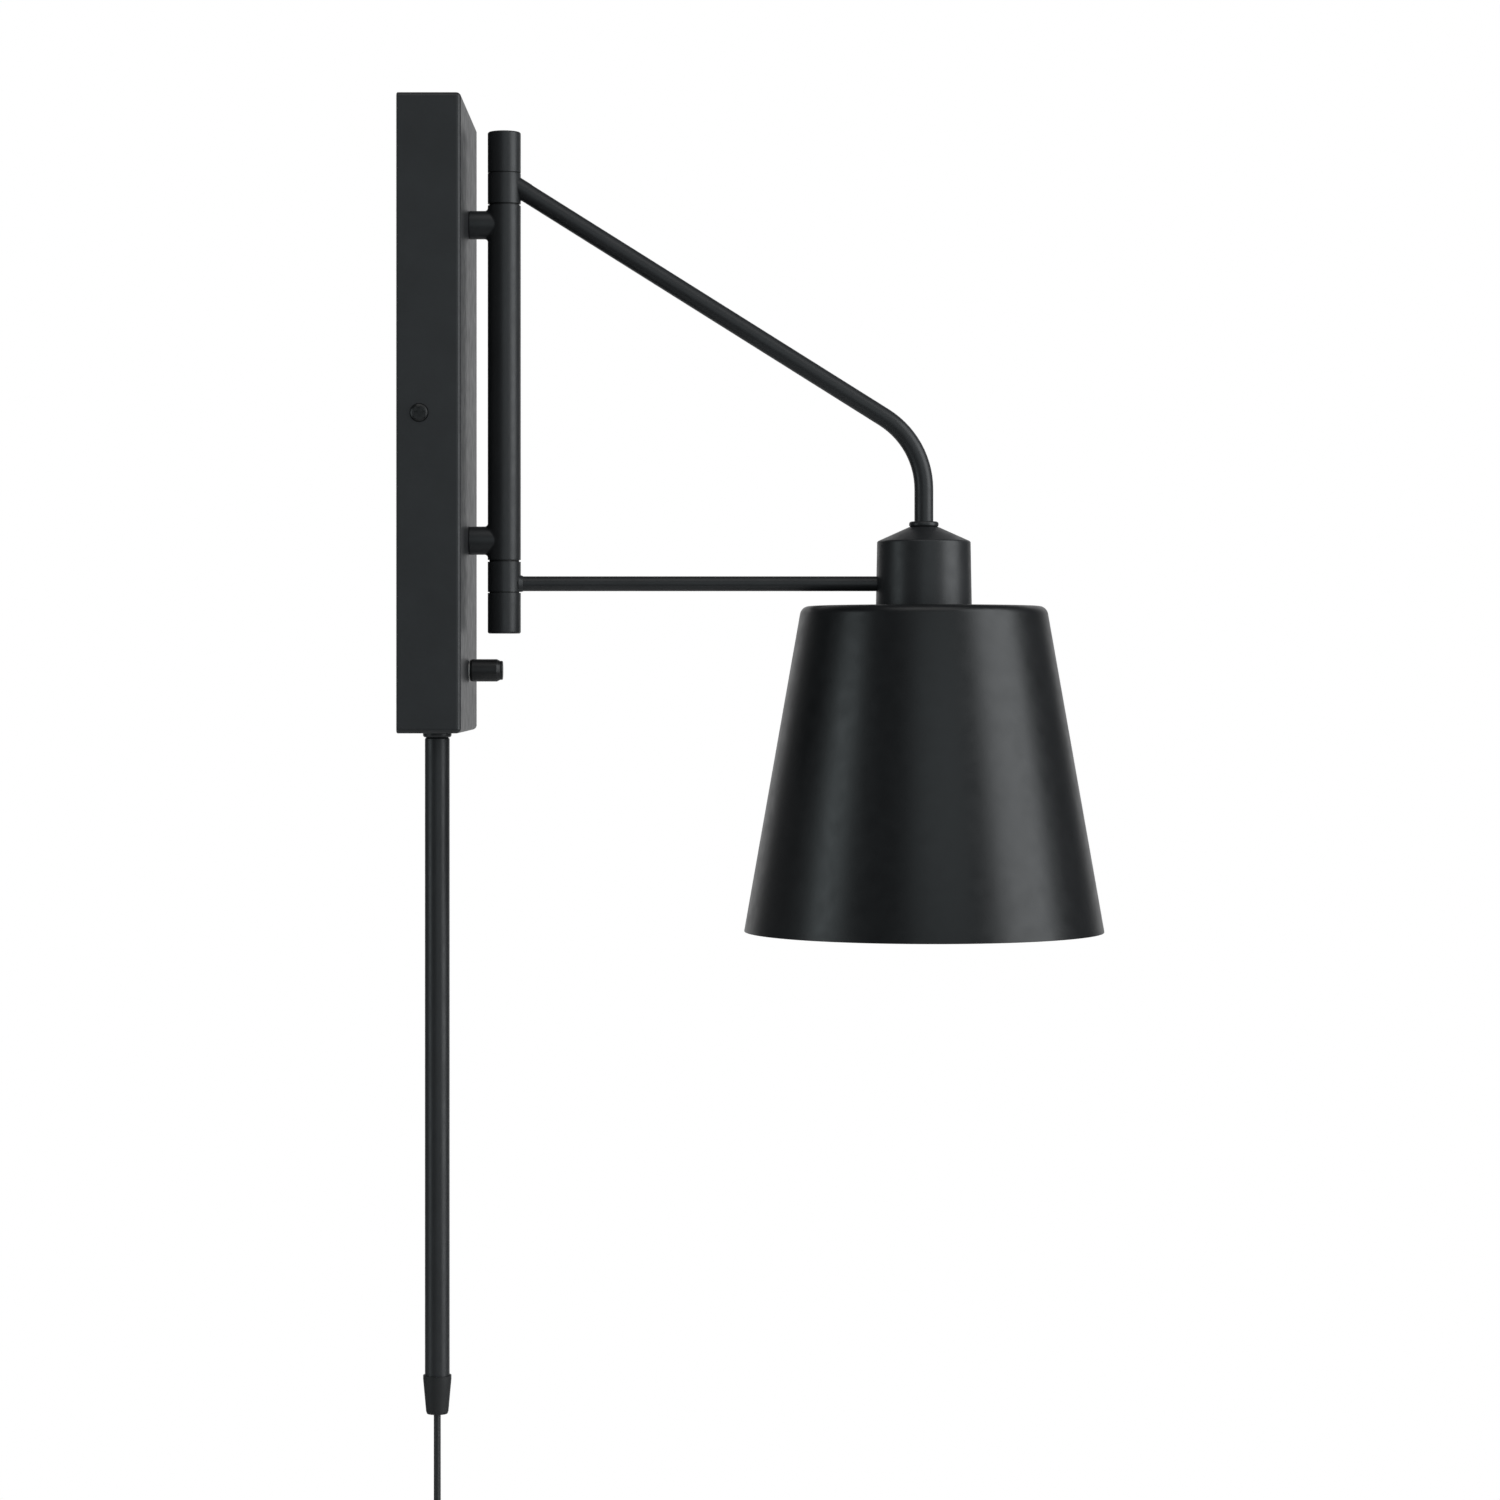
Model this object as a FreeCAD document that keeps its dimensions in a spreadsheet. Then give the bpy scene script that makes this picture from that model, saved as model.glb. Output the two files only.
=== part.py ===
"""Swing arm wall sconce: a steel canopy with a hinged post arm, a cone shade and a plug-in cord.

Millimetres. The origin is the middle of the canopy's back, on the wall. +X points out of the
wall, +Z up. The arm swings about the post, which is parallel to Z.
"""

import FreeCAD
import Part
import math
import os
import re

import Sketcher

# ---------------------------------------------------------------- driving sizes

SIZES = (
    # canopy box
    ("canopy_width", 108.0),
    ("canopy_tall", 263.0),
    ("canopy_depth", 26.5),
    ("canopy_sheet", 1.2),
    ("canopy_round", 2.0),
    ("canopy_back_round", 0.6),
    # bracket that the canopy is screwed to
    ("bracket_sheet", 1.5),
    ("bracket_gap", 0.3),
    ("bracket_tall", 120.0),
    ("bracket_plate_width", 60.0),
    ("flange_tall", 30.0),
    ("flange_deep", 16.0),
    ("box_slot_spacing", 79.4),
    ("box_slot_long", 14.1),
    ("box_slot_width", 4.6),
    ("wire_hole", 14.0),
    ("wire_hole_up", 23.6),
    ("side_screw_out", 9.4),
    ("side_screw_across", 4.0),
    ("side_screw_head", 7.0),
    ("side_screw_head_tall", 0.9),
    ("side_screw_sink", 1.0),
    ("side_screw_long", 8.0),
    # post and its standoffs
    ("post_out", 41.4),
    ("post_across", 14.0),
    ("post_wall", 1.5),
    ("post_mid", 16.2),
    ("mid_tube_long", 150.0),
    ("standoff_across", 12.0),
    ("standoff_inset", 8.15),
    ("standoff_fillet", 1.2),
    ("standoff_edge", 0.5),
    ("nipple_across", 8.0),
    ("nipple_bore", 5.5),
    ("nipple_inside", 9.0),
    ("nipple_short", 1.0),
    ("nut_flats", 13.0),
    ("nut_thick", 4.0),
    ("flange_across", 17.0),
    ("flange_thick", 1.2),
    # pivots at the two ends of the post
    ("sleeve_tall", 12.7),
    ("cap_tall", 17.2),
    ("cap_round", 0.8),
    ("spigot_across", 10.4),
    ("spigot_bore", 7.0),
    ("spigot_root", 3.5),
    ("spigot_in_cap", 9.5),
    ("cap_end_gap", 0.5),
    ("window_above", 2.5),
    ("window_below", 1.5),
    ("window_inset", 1.2),
    ("ring_across", 12.6),
    ("inner_ring_thick", 0.8),
    ("outer_ring_thick", 0.4),
    ("swing_each_way", 75.0),
    ("swing_spare", 2.5),
    ("stop_screw_across", 1.6),
    ("stop_groove_deep", 1.1),
    ("stop_groove_spare", 0.6),
    ("stop_screw_gap", 0.2),
    # arm tube and strut
    ("arm_across", 8.0),
    ("arm_wall", 1.0),
    ("arm_reach", 177.8),
    ("arm_slope", 32.13),
    ("arm_lip", 0.62),
    ("arm_bend", 36.0),
    ("strut_across", 6.3),
    ("strut_lip", 0.3),
    ("joint_flare", 0.9),
    ("flare_lip", 0.1),
    ("flare_sunk", 0.4),
    ("strut_end_gap", 0.7),
    # lampholder cup
    ("strut_over_rim", 9.5),
    ("cup_side_tall", 27.4),
    ("cup_cone_tall", 6.1),
    ("cup_top_across", 12.6),
    ("cup_shoulder_across", 39.6),
    ("cup_rim_across", 40.6),
    ("cup_sheet", 1.0),
    ("cup_round", 1.0),
    ("cup_nut_gap", 0.5),
    ("stem_collar_across", 12.5),
    ("stem_collar_tall", 2.35),
    ("stem_collar_round", 1.0),
    ("stem_nut_flats", 12.0),
    ("stem_nut_thick", 3.0),
    ("stem_past_nut", 1.0),
    ("stem_end_gap", 0.5),
    ("strap_thick", 1.2),
    ("strap_wide", 12.0),
    ("strap_long", 22.0),
    ("strap_screw_spacing", 17.6),
    ("strap_screw_across", 3.0),
    ("strap_screw_head", 4.4),
    ("strap_screw_head_tall", 1.3),
    ("strap_screw_long", 7.0),
    # lamp socket
    ("socket_upper_across", 31.0),
    ("socket_upper_tall", 21.5),
    ("socket_skirt_across", 36.0),
    ("socket_mouth_below", 26.6),
    ("socket_round", 0.6),
    ("socket_nut_gap", 0.2),
    ("socket_well", 27.4),
    ("shell_bore", 26.4),
    ("shell_sheet", 0.4),
    ("shell_long", 25.4),
    ("shell_inset", 1.2),
    ("contact_across", 9.0),
    ("contact_thick", 1.6),
    ("contact_gap", 0.4),
    ("contact_proud", 0.2),
    ("shade_ring_across", 46.0),
    ("shade_ring_tall", 8.0),
    ("shade_ring_lip", 2.5),
    ("shade_ring_step", 3.0),
    ("shade_hole_gap", 0.3),
    # shade
    ("shade_tall", 137.9),
    ("shade_rim_across", 152.4),
    ("shade_top_across", 103.8),
    ("shade_sheet", 1.0),
    ("shade_round", 4.0),
    # switch
    ("switch_drop", 105.6),
    ("switch_case_deep", 12.0),
    ("switch_case_wide", 16.0),
    ("switch_case_tall", 20.0),
    ("switch_bushing_across", 6.0),
    ("switch_bushing_out", 2.4),
    ("switch_nut_across", 7.6),
    ("switch_nut_thick", 1.4),
    ("shaft_across", 4.0),
    ("shaft_end_gap", 0.2),
    ("knob_across", 9.5),
    ("knob_gap", 0.5),
    ("knob_long", 12.7),
    ("knob_tip_across", 8.05),
    ("knob_tip_long", 1.1),
    ("knob_chamfer", 0.9),
    ("knob_edge", 1.4),
    ("knob_tip_edge", 0.25),
    ("knob_face", 3.7),
    ("knob_nut_gap", 0.15),
    ("knob_floor_gap", 0.4),
    # cord cover under the canopy
    ("cord_out", 13.0),
    ("cover_across", 10.5),
    ("cover_wall", 0.8),
    ("cover_chamfer", 0.6),
    ("cover_long", 272.7),
    ("cover_collar_across", 12.1),
    ("cover_collar_tall", 2.5),
    ("cover_collar_round", 1.1),
    ("ferrule_across", 12.0),
    ("ferrule_tip_across", 8.8),
    ("ferrule_tall", 16.2),
    ("ferrule_top_tall", 1.5),
    ("ferrule_lip_tall", 1.0),
    ("ferrule_lip", 0.35),
    ("ferrule_socket", 8.0),
    ("cord_nipple_across", 8.6),
    ("cord_nipple_bore", 6.2),
    ("cord_nipple_below", 18.0),
    ("cord_nipple_above", 7.5),
    ("cord_nut_flats", 14.0),
    ("cord_nut_thick", 3.0),
    # wiring
    ("lead_across", 3.0),
    ("lead_lane", 10.0),
    ("lead_start_drop", 60.0),
    ("lead_bend", 8.0),
    ("lead_post_bend", 4.0),
    ("lead_arm_bend", 2.2),
    ("lead_split_up", 1.0),
    ("lead_split_gap", 0.2),
    ("lead_end_gap", 0.1),
    ("supply_lane", 6.0),
    ("supply_low_drop", 123.0),
    ("supply_high_drop", 108.0),
    ("supply_end_drop", 84.0),
    ("supply_bend", 12.0),
    ("clamp_drop", 94.0),
    ("clamp_wall", 2.0),
    ("clamp_tall", 6.0),
    ("connector_out", 10.0),
    ("connector_aside", 13.0),
    ("connector_drop", 82.0),
    ("connector_across", 10.0),
    ("connector_grip_across", 9.2),
    ("connector_grip_long", 10.0),
    ("connector_tip_across", 6.0),
    ("connector_long", 18.0),
    ("wire_across", 2.0),
    ("wire_out", 16.0),
    ("wire_aside", 5.0),
    ("wire_turn_drop", 90.0),
    ("wire_bend", 2.4),
    # cord, coil and plug
    ("cord_wide", 5.6),
    ("coil_mid_radius", 31.05),
    ("coil_layers", 4.0),
    ("coil_pitch", 2.95),
    ("coil_drop", 140.0),
    ("coil_tail", 36.0),
    ("lie_gap", 0.1),
    ("tie_wide", 8.0),
    ("tie_band", 1.2),
    ("tie_gap", 0.4),
    ("plug_long", 26.0),
    ("plug_wide", 22.0),
    ("plug_thick", 14.0),
    ("plug_shoulder", 4.0),
    ("plug_taper", 11.7),
    ("plug_round", 1.5),
    ("blade_long", 17.5),
    ("blade_wide", 6.35),
    ("blade_thick", 1.5),
    ("blade_spacing", 12.7),
    # clearances, and how far a cutting tool runs past a face
    ("hole_gap", 0.4),
    ("run_gap", 0.05),
    ("seat_gap", 0.03),
    ("past", 1.0),
)

doc = FreeCAD.newDocument("SwingArmSconce")
sheet = doc.addObject("Spreadsheet::Sheet", "Sizes")
for row, (alias, size) in enumerate(SIZES, 1):
    sheet.set(f"A{row}", alias)
    sheet.set(f"B{row}", str(size))
    sheet.setAlias(f"B{row}", alias)
doc.recompute()

SIZE_NAMES = {alias for alias, size in SIZES}


def bound(text):
    """The expression TEXT with each size's name pointing at its cell."""
    return re.sub(r"[a-z]\w*", lambda word: "Sizes." + word[0] if word[0] in SIZE_NAMES else word[0], text)


def value(text):
    """What the expression TEXT comes to now."""
    result = sheet.evalExpression(bound(text))
    return float(getattr(result, "Value", result))


# ---------------------------------------------------------------- heights and places shared by pieces

MID_TOP = "( post_mid + mid_tube_long / 2 )"
MID_BOTTOM = "( post_mid - mid_tube_long / 2 )"
UPPER_SLEEVE = f"( {MID_TOP} + inner_ring_thick + run_gap )"
LOWER_SLEEVE = f"( {MID_BOTTOM} - inner_ring_thick - run_gap - sleeve_tall )"
TOP_CAP = f"( {UPPER_SLEEVE} + sleeve_tall + run_gap + outer_ring_thick )"
BOTTOM_CAP = f"( {LOWER_SLEEVE} - run_gap - outer_ring_thick )"
UPPER_STANDOFF = f"( {MID_TOP} - standoff_inset )"
LOWER_STANDOFF = f"( {MID_BOTTOM} + standoff_inset )"
# the arm and the strut keep their lips inside the sleeves' ends
ARM_CROSSING = (f"( {UPPER_SLEEVE} + sleeve_tall - arm_lip - arm_across / 2 / cos( arm_slope )"
                " + ( spigot_across / 2 + run_gap ) * tan( arm_slope ) )")
STRUT = f"( {LOWER_SLEEVE} + strut_across / 2 + strut_lip )"
HEAD_OUT = "( post_out + arm_reach )"
CUP_RIM = f"( {STRUT} - strut_over_rim )"
CUP_SHOULDER = f"( {CUP_RIM} + cup_side_tall )"
CUP_TOP = f"( {CUP_SHOULDER} + cup_cone_tall )"
STEM_NUT_TOP = f"( {CUP_TOP} - cup_sheet - cup_nut_gap )"
STRAP_TOP = f"( {STEM_NUT_TOP} - stem_nut_thick )"
SOCKET_TOP = f"( {STRAP_TOP} - strap_thick )"
SOCKET_MOUTH = f"( {CUP_RIM} - socket_mouth_below )"
SHADE_UNDER = f"( {CUP_RIM} - shade_sheet )"
ARM_CORNER = f"( {ARM_CROSSING} - arm_reach * tan( arm_slope ) )"
BEND_SETBACK = "( arm_bend * tan( ( 90 - arm_slope ) / 2 ) )"
STEM_END = f"( {SOCKET_TOP} - stem_nut_thick - stem_past_nut )"
CANOPY_FLOOR = "( 0 - canopy_tall / 2 )"
PANEL_BACK = "( canopy_depth - canopy_sheet )"
CORD_EXIT = f"( {CANOPY_FLOOR} - cover_long - ferrule_tall )"
COIL_OUT = "( cord_out + cord_wide / 2 + lie_gap )"
COIL_MID = f"( {CORD_EXIT} - coil_drop )"

# degrees in a radian
RADIAN = 57.2958

# axis and angle that turn a piece's own +Z to each direction
TURNS = {
    "+Z": ((0, 0, 1), 0),
    "-Z": ((1, 0, 0), 180),
    "+X": ((0, 1, 0), 90),
    "-X": ((0, 1, 0), -90),
    "+Y": ((1, 0, 0), -90),
    "-Y": ((1, 0, 0), 90),
}

# ---------------------------------------------------------------- building helpers

nodes = []


def node(label, piece):
    """Marks PIECE as one of the sub-parts that are written out."""
    piece.Label = label
    nodes.append(piece)
    return piece


def placed(piece, at, towards="+Z"):
    """Puts PIECE at three bound coordinates, its own +Z turned TOWARDS a direction."""
    axis, angle = TURNS[towards]
    piece.Placement.Rotation = FreeCAD.Rotation(FreeCAD.Vector(*axis), angle)
    for letter, text in zip("xyz", at):
        piece.setExpression(f"Placement.Base.{letter}", bound(text))
    return piece


def rod(name, across, length, at, towards="+Z"):
    """A plain cylinder given by its diameter."""
    piece = doc.addObject("Part::Cylinder", name)
    piece.setExpression("Radius", bound(f"( {across} ) / 2"))
    piece.setExpression("Height", bound(length))
    return placed(piece, at, towards)


def block(name, sides, at):
    """A box whose middle is at AT."""
    piece = doc.addObject("Part::Box", name)
    for side, text in zip(("Length", "Width", "Height"), sides):
        piece.setExpression(side, bound(text))
    corner = [f"{middle} - ( {text} ) / 2" for middle, text in zip(at, sides)]
    return placed(piece, corner)


def joined(name, pieces):
    """Several solids welded into one."""
    piece = doc.addObject("Part::MultiFuse", name)
    piece.Shapes = pieces
    piece.Refine = True
    return piece


def cut(name, base, tools):
    """BASE with every one of TOOLS taken away."""
    piece = doc.addObject("Part::Cut", name)
    piece.Base = base
    piece.Tool = tools[0] if len(tools) == 1 else joined(name + "_tools", tools)
    return piece


def pipe(name, across, bore, length, at, towards="+Z"):
    """A tube with a straight bore all the way through."""
    outer = rod(name + "_outer", across, length, at, towards)
    inner = rod(name + "_inner", bore, length, at, towards)
    return cut(name, outer, [inner])


def hex_nut(name, flats, bore, length, at, towards):
    """A six-sided nut, bored to fit over its thread."""
    body = doc.addObject("Part::Prism", name + "_hexagon")
    body.Polygon = 6
    body.setExpression("Circumradius", bound(f"{flats} / ( 2 * cos( 30 ) )"))
    body.setExpression("Height", bound(length))
    placed(body, at, towards)
    return cut(name, body, [rod(name + "_bore", bore, length, at, towards)])


def origin_plane(body, role):
    """One of BODY's own origin planes."""
    return next(plane for plane in body.Origin.OriginFeatures if plane.Role == role)


def flat_sketch(body, name, plane):
    """An empty sketch lying on one of BODY's own origin planes."""
    sketch = body.newObject("Sketcher::SketchObject", name)
    sketch.AttachmentSupport = [(origin_plane(body, plane), "")]
    sketch.MapMode = "FlatFace"
    return sketch


def tie(sketch, kind, where, text):
    """Holds one distance of the sketch to an expression, or a point to an axis where it is nought."""
    if text == "0":
        axis = -2 if kind == "DistanceX" else -1
        sketch.addConstraint(Sketcher.Constraint("PointOnObject", *where, axis))
        return
    here = Sketcher.Constraint(kind, -1, 1, *where, value(text))
    index = sketch.addConstraint(here)
    sketch.renameConstraint(index, f"{kind}_{index}")
    sketch.setExpression(f"Constraints.{kind}_{index}", bound(text))


def outline(body, name, plane, points):
    """A closed straight-sided sketch with a bound corner at each of POINTS."""
    sketch = flat_sketch(body, name, plane)
    corners = [FreeCAD.Vector(value(across), value(up), 0) for across, up in points]
    for index, corner in enumerate(corners):
        following = corners[(index + 1) % len(corners)]
        sketch.addGeometry(Part.LineSegment(corner, following), False)
    for index in range(len(points)):
        following = (index + 1) % len(points)
        sketch.addConstraint(Sketcher.Constraint("Coincident", index, 2, following, 1))
    for index, (across, up) in enumerate(points):
        tie(sketch, "DistanceX", (index, 1), across)
        tie(sketch, "DistanceY", (index, 1), up)
    return sketch


def discs(body, name, plane, circles):
    """A sketch of circles, each given as across, up and diameter."""
    sketch = flat_sketch(body, name, plane)
    for index, (across, up, diameter) in enumerate(circles):
        centre = FreeCAD.Vector(value(across), value(up), 0)
        ring = Part.Circle(centre, FreeCAD.Vector(0, 0, 1), value(diameter) / 2)
        sketch.addGeometry(ring, False)
        if across == up == "0":
            sketch.addConstraint(Sketcher.Constraint("Coincident", index, 3, -1, 1))
        else:
            tie(sketch, "DistanceX", (index, 3), across)
            tie(sketch, "DistanceY", (index, 3), up)
        size = sketch.addConstraint(Sketcher.Constraint("Radius", index, value(diameter) / 2))
        sketch.renameConstraint(size, f"Radius_{index}")
        sketch.setExpression(f"Constraints.Radius_{index}", bound(f"( {diameter} ) / 2"))
    return sketch


def turned(name, points, at, towards="+Z"):
    """A lathe-turned piece: POINTS are the radius and height of its half section."""
    body = doc.addObject("PartDesign::Body", name)
    section = outline(body, name + "_section", "XZ_Plane", points)
    lathe = body.newObject("PartDesign::Revolution", name + "_lathe")
    lathe.Profile = section
    lathe.ReferenceAxis = (section, ["V_Axis"])
    lathe.Angle = 360
    return placed(body, at, towards)


def rounded(body, radius, wanted):
    """Rounds the body's edges for which WANTED is true."""
    doc.recompute()
    base = body.Tip
    edges = [f"Edge{number}" for number, edge in enumerate(base.Shape.Edges, 1) if wanted(edge)]
    fillet = body.newObject("PartDesign::Fillet", body.Name + "_rounded")
    fillet.Base = (base, edges)
    fillet.setExpression("Radius", bound(radius))
    return body


def is_ring(edge, across, up):
    """Whether a turned edge has this diameter and height in its own body."""
    if edge.Curve.TypeId != "Part::GeomCircle":
        return False
    same_size = abs(edge.Curve.Radius - value(across) / 2) < 1e-4
    return same_size and abs(edge.Curve.Center.z - value(up)) < 1e-4


def swept(name, across, points, bends):
    """A round lead through POINTS, with a tangent arc of the given radius at each inner point."""
    path, start = [], points[0]
    for before, corner, after, radius in zip(points, points[1:], points[2:], bends):
        arriving = (corner - before).normalize()
        leaving = (after - corner).normalize()
        turn = arriving.getAngle(leaving)
        setback = radius * math.tan(turn / 2)
        first, last = corner - arriving * setback, corner + leaving * setback
        inward = (leaving - arriving).normalize()
        middle = corner + inward * (radius / math.cos(turn / 2) - radius)
        path.append(Part.LineSegment(start, first).toShape())
        path.append(Part.Arc(first, middle, last).toShape())
        start = last
    path.append(Part.LineSegment(start, points[-1]).toShape())
    wire = Part.Wire(path)
    ring = Part.Circle(points[0], points[1] - points[0], value(across) / 2)
    piece = doc.addObject("Part::Feature", name)
    piece.Shape = wire.makePipeShell([Part.Wire([ring.toShape()])], True, False)
    return piece


def spot(across, deep, up):
    """A point given by three expressions."""
    return FreeCAD.Vector(value(across), value(deep), value(up))


# ---------------------------------------------------------------- canopy and bracket


def canopy_shell():
    """Pressed box, open at the back, with holes for the standoffs, switch, cord and screws."""
    body = doc.addObject("PartDesign::Body", "canopy_box")
    half, tall = "canopy_width / 2", "canopy_tall / 2"
    face = outline(body, "canopy_face", "YZ_Plane", (
        (f"0 - {half}", f"0 - {tall}"), (half, f"0 - {tall}"), (half, tall), (f"0 - {half}", tall)))
    box = body.newObject("PartDesign::Pad", "canopy_pad")
    box.Profile = face
    box.setExpression("Length", bound("canopy_depth"))
    rounded(body, "canopy_round", lambda edge: edge.BoundBox.XMax > value("canopy_depth") / 2)
    rounded(body, "canopy_back_round", lambda edge: edge.BoundBox.XMax < 1e-6)
    half, tall = f"( {half} - canopy_sheet )", f"( {tall} - canopy_sheet )"
    inside = outline(body, "canopy_inside", "YZ_Plane", (
        (f"0 - {half}", f"0 - {tall}"), (half, f"0 - {tall}"), (half, tall), (f"0 - {half}", tall)))
    hollow = body.newObject("PartDesign::Pocket", "canopy_hollow")
    hollow.Profile = inside
    hollow.Reversed = True
    hollow.setExpression("Length", bound(PANEL_BACK))
    hole = "canopy_sheet + 2 * past"
    front = f"{PANEL_BACK} - past"
    screw_hole = "side_screw_across + hole_gap"
    holes = [
        rod("upper_standoff_hole", "nipple_across + hole_gap", hole, (front, "0", UPPER_STANDOFF), "+X"),
        rod("lower_standoff_hole", "nipple_across + hole_gap", hole, (front, "0", LOWER_STANDOFF), "+X"),
        rod("switch_hole", "switch_bushing_across + hole_gap / 2", hole,
            (front, "0", "0 - switch_drop"), "+X"),
        rod("cord_hole", "cord_nipple_across + hole_gap", hole,
            ("cord_out", "0", f"{CANOPY_FLOOR} - past")),
        rod("screw_holes", screw_hole, "canopy_width + 2 * past",
            ("side_screw_out", "0 - canopy_width / 2 - past", "0"), "+Y"),
        *(turned(f"{side}_countersink", (
            ("0", "0 - side_screw_sink"), (f"( {screw_hole} ) / 2", "0 - side_screw_sink"),
            ("side_screw_head / 2 + hole_gap", "0"),
            ("side_screw_head / 2 + hole_gap", "past"), ("0", "past")),
            ("side_screw_out", f"{sign} canopy_width / 2", "0"), towards)
            for side, sign, towards in (("left", "0 -", "-Y"), ("right", "0 +", "+Y"))),
    ]
    node("canopy_shell", cut("canopy", body, holes))


def wall_bracket():
    """Crossbar on the outlet box: two slots, two wire holes and a tapped flange on each side."""
    middle = "bracket_sheet / 2"
    across = "( canopy_width - 2 * canopy_sheet - 2 * bracket_gap )"
    plates = [
        block("bracket_plate", ("bracket_sheet", "bracket_plate_width", "bracket_tall"),
              (middle, "0", "0")),
        block("bracket_crossbar", ("bracket_sheet", across, "flange_tall"), (middle, "0", "0")),
    ]
    for side, sign in (("left", "0 -"), ("right", "0 +")):
        at = ("flange_deep / 2", f"{sign} ( {across} / 2 - bracket_sheet / 2 )", "0")
        plates.append(block(f"bracket_{side}_flange", ("flange_deep", "bracket_sheet", "flange_tall"), at))
    through = ("0 - past", "0")
    holes = [
        rod("bracket_taps", "side_screw_across + 2 * seat_gap", f"{across} + 2 * past",
            ("side_screw_out", f"0 - {across} / 2 - past", "0"), "+Y"),
    ]
    for name, sign in (("upper", "0 +"), ("lower", "0 -")):
        holes.append(rod(f"{name}_wire_hole", "wire_hole", "bracket_sheet + 2 * past",
                         (*through, f"{sign} wire_hole_up"), "+X"))
        middle_up = f"( {sign} box_slot_spacing / 2 )"
        straight = "( box_slot_long - box_slot_width )"
        sides = ("bracket_sheet + 2 * past", "box_slot_width", straight)
        holes.append(block(f"{name}_slot", sides, ("bracket_sheet / 2", "0", middle_up)))
        for end, way in (("high", "+"), ("low", "-")):
            at = (*through, f"{middle_up} {way} {straight} / 2")
            holes.append(rod(f"{name}_slot_{end}", "box_slot_width", "bracket_sheet + 2 * past", at, "+X"))
    node("wall_bracket", cut("bracket", joined("bracket_folded", plates), holes))


# a pan head's rim and flat crown, and its cross slot, as shares of the head's own height and width
HEAD_RIM, HEAD_CROWN = 0.6, 0.4
SLOT_LONG, SLOT_WIDE, SLOT_DEEP, SLOT_FLOOR = 0.6, 0.16, 1.0, 0.05


def cross_screw(name, across, head, head_tall, long, at, towards, sink="0"):
    """Phillips screw with its head pointing TOWARDS and its rim at AT, SINK deep in a countersink."""
    body = turned(name + "_blank", (
        ("0", f"0 - {long}"), (f"{across} / 2", f"0 - {long}"), (f"{across} / 2", f"0 - {sink}"),
        (f"{head} / 2", "0"), (f"{head} / 2", f"{head_tall} * {HEAD_RIM}"),
        (f"{head} * {HEAD_CROWN}", head_tall), ("0", head_tall)), at, towards)
    turned_to = FreeCAD.Rotation(FreeCAD.Vector(*TURNS[towards][0]), TURNS[towards][1])
    rise = turned_to.multVec(FreeCAD.Vector(0, 0, 1))
    slots = []
    for way, sides in (("one", (SLOT_LONG, SLOT_WIDE)), ("two", (SLOT_WIDE, SLOT_LONG))):
        slot = doc.addObject("Part::Box", f"{name}_slot_{way}")
        slot.setExpression("Length", bound(f"{head} * {sides[0]}"))
        slot.setExpression("Width", bound(f"{head} * {sides[1]}"))
        slot.setExpression("Height", bound(f"{head_tall} * {SLOT_DEEP}"))
        slot.Placement.Rotation = turned_to
        shift = turned_to.multVec(FreeCAD.Vector(-sides[0] / 2, -sides[1] / 2, 0))
        for letter, text, side, up in zip("xyz", at, shift, rise):
            moved = f"{text} + {head} * ( {side:.4f} ) + {head_tall} * {SLOT_FLOOR} * ( {up:.1f} )"
            slot.setExpression(f"Placement.Base.{letter}", bound(moved))
        slots.append(slot)
    return cut(name, body, slots)


def canopy_side_screws():
    """The two screws that hold the canopy to the bracket's flanges."""
    for number, (sign, towards) in enumerate((("0 -", "-Y"), ("0 +", "+Y")), 1):
        at = ("side_screw_out", f"{sign} canopy_width / 2", "0")
        node(f"canopy_side_screw_{number}", cross_screw(
            f"side_screw_{number}", "side_screw_across", "side_screw_head", "side_screw_head_tall",
            "side_screw_long", at, towards, "side_screw_sink"))


# ---------------------------------------------------------------- post and standoffs


def post_tube():
    """Fixed middle tube of the post, with a standoff welded near each end."""
    body = doc.addObject("PartDesign::Body", "post_weldment")
    placed(body, ("post_out", "0", MID_BOTTOM))
    tube = body.newObject("PartDesign::Pad", "post_pad")
    tube.Profile = discs(body, "post_circle", "XY_Plane", (("0", "0", "post_across"),))
    tube.setExpression("Length", bound("mid_tube_long"))
    heights = ("standoff_inset", "mid_tube_long - standoff_inset")
    arms = body.newObject("PartDesign::Pad", "standoff_pad")
    arms.Profile = discs(body, "standoff_circles", "YZ_Plane",
                         [("0", height, "standoff_across") for height in heights])
    arms.Reversed = True
    arms.setExpression("Length", bound("post_out - canopy_depth"))
    rounded(body, "standoff_fillet", lambda edge: edge.Curve.TypeId == "Part::GeomBSplineCurve")
    foot = value("0 - ( post_out - canopy_depth )")
    rounded(body, "standoff_edge", lambda edge: edge.BoundBox.XMax < foot + 1e-4)
    bore = body.newObject("PartDesign::Pocket", "post_bore")
    bore.Profile = discs(body, "bore_circle", "XY_Plane", (("0", "0", "post_across - 2 * post_wall"),))
    bore.Reversed = True
    bore.setExpression("Length", bound("mid_tube_long"))
    taps = body.newObject("PartDesign::Pocket", "standoff_bores")
    taps.Profile = discs(body, "tap_circles", "YZ_Plane",
                         [("0", height, "nipple_across + 2 * seat_gap") for height in heights])
    taps.setExpression("Length", bound("post_out - canopy_depth"))
    node("post_tube", body)


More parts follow.
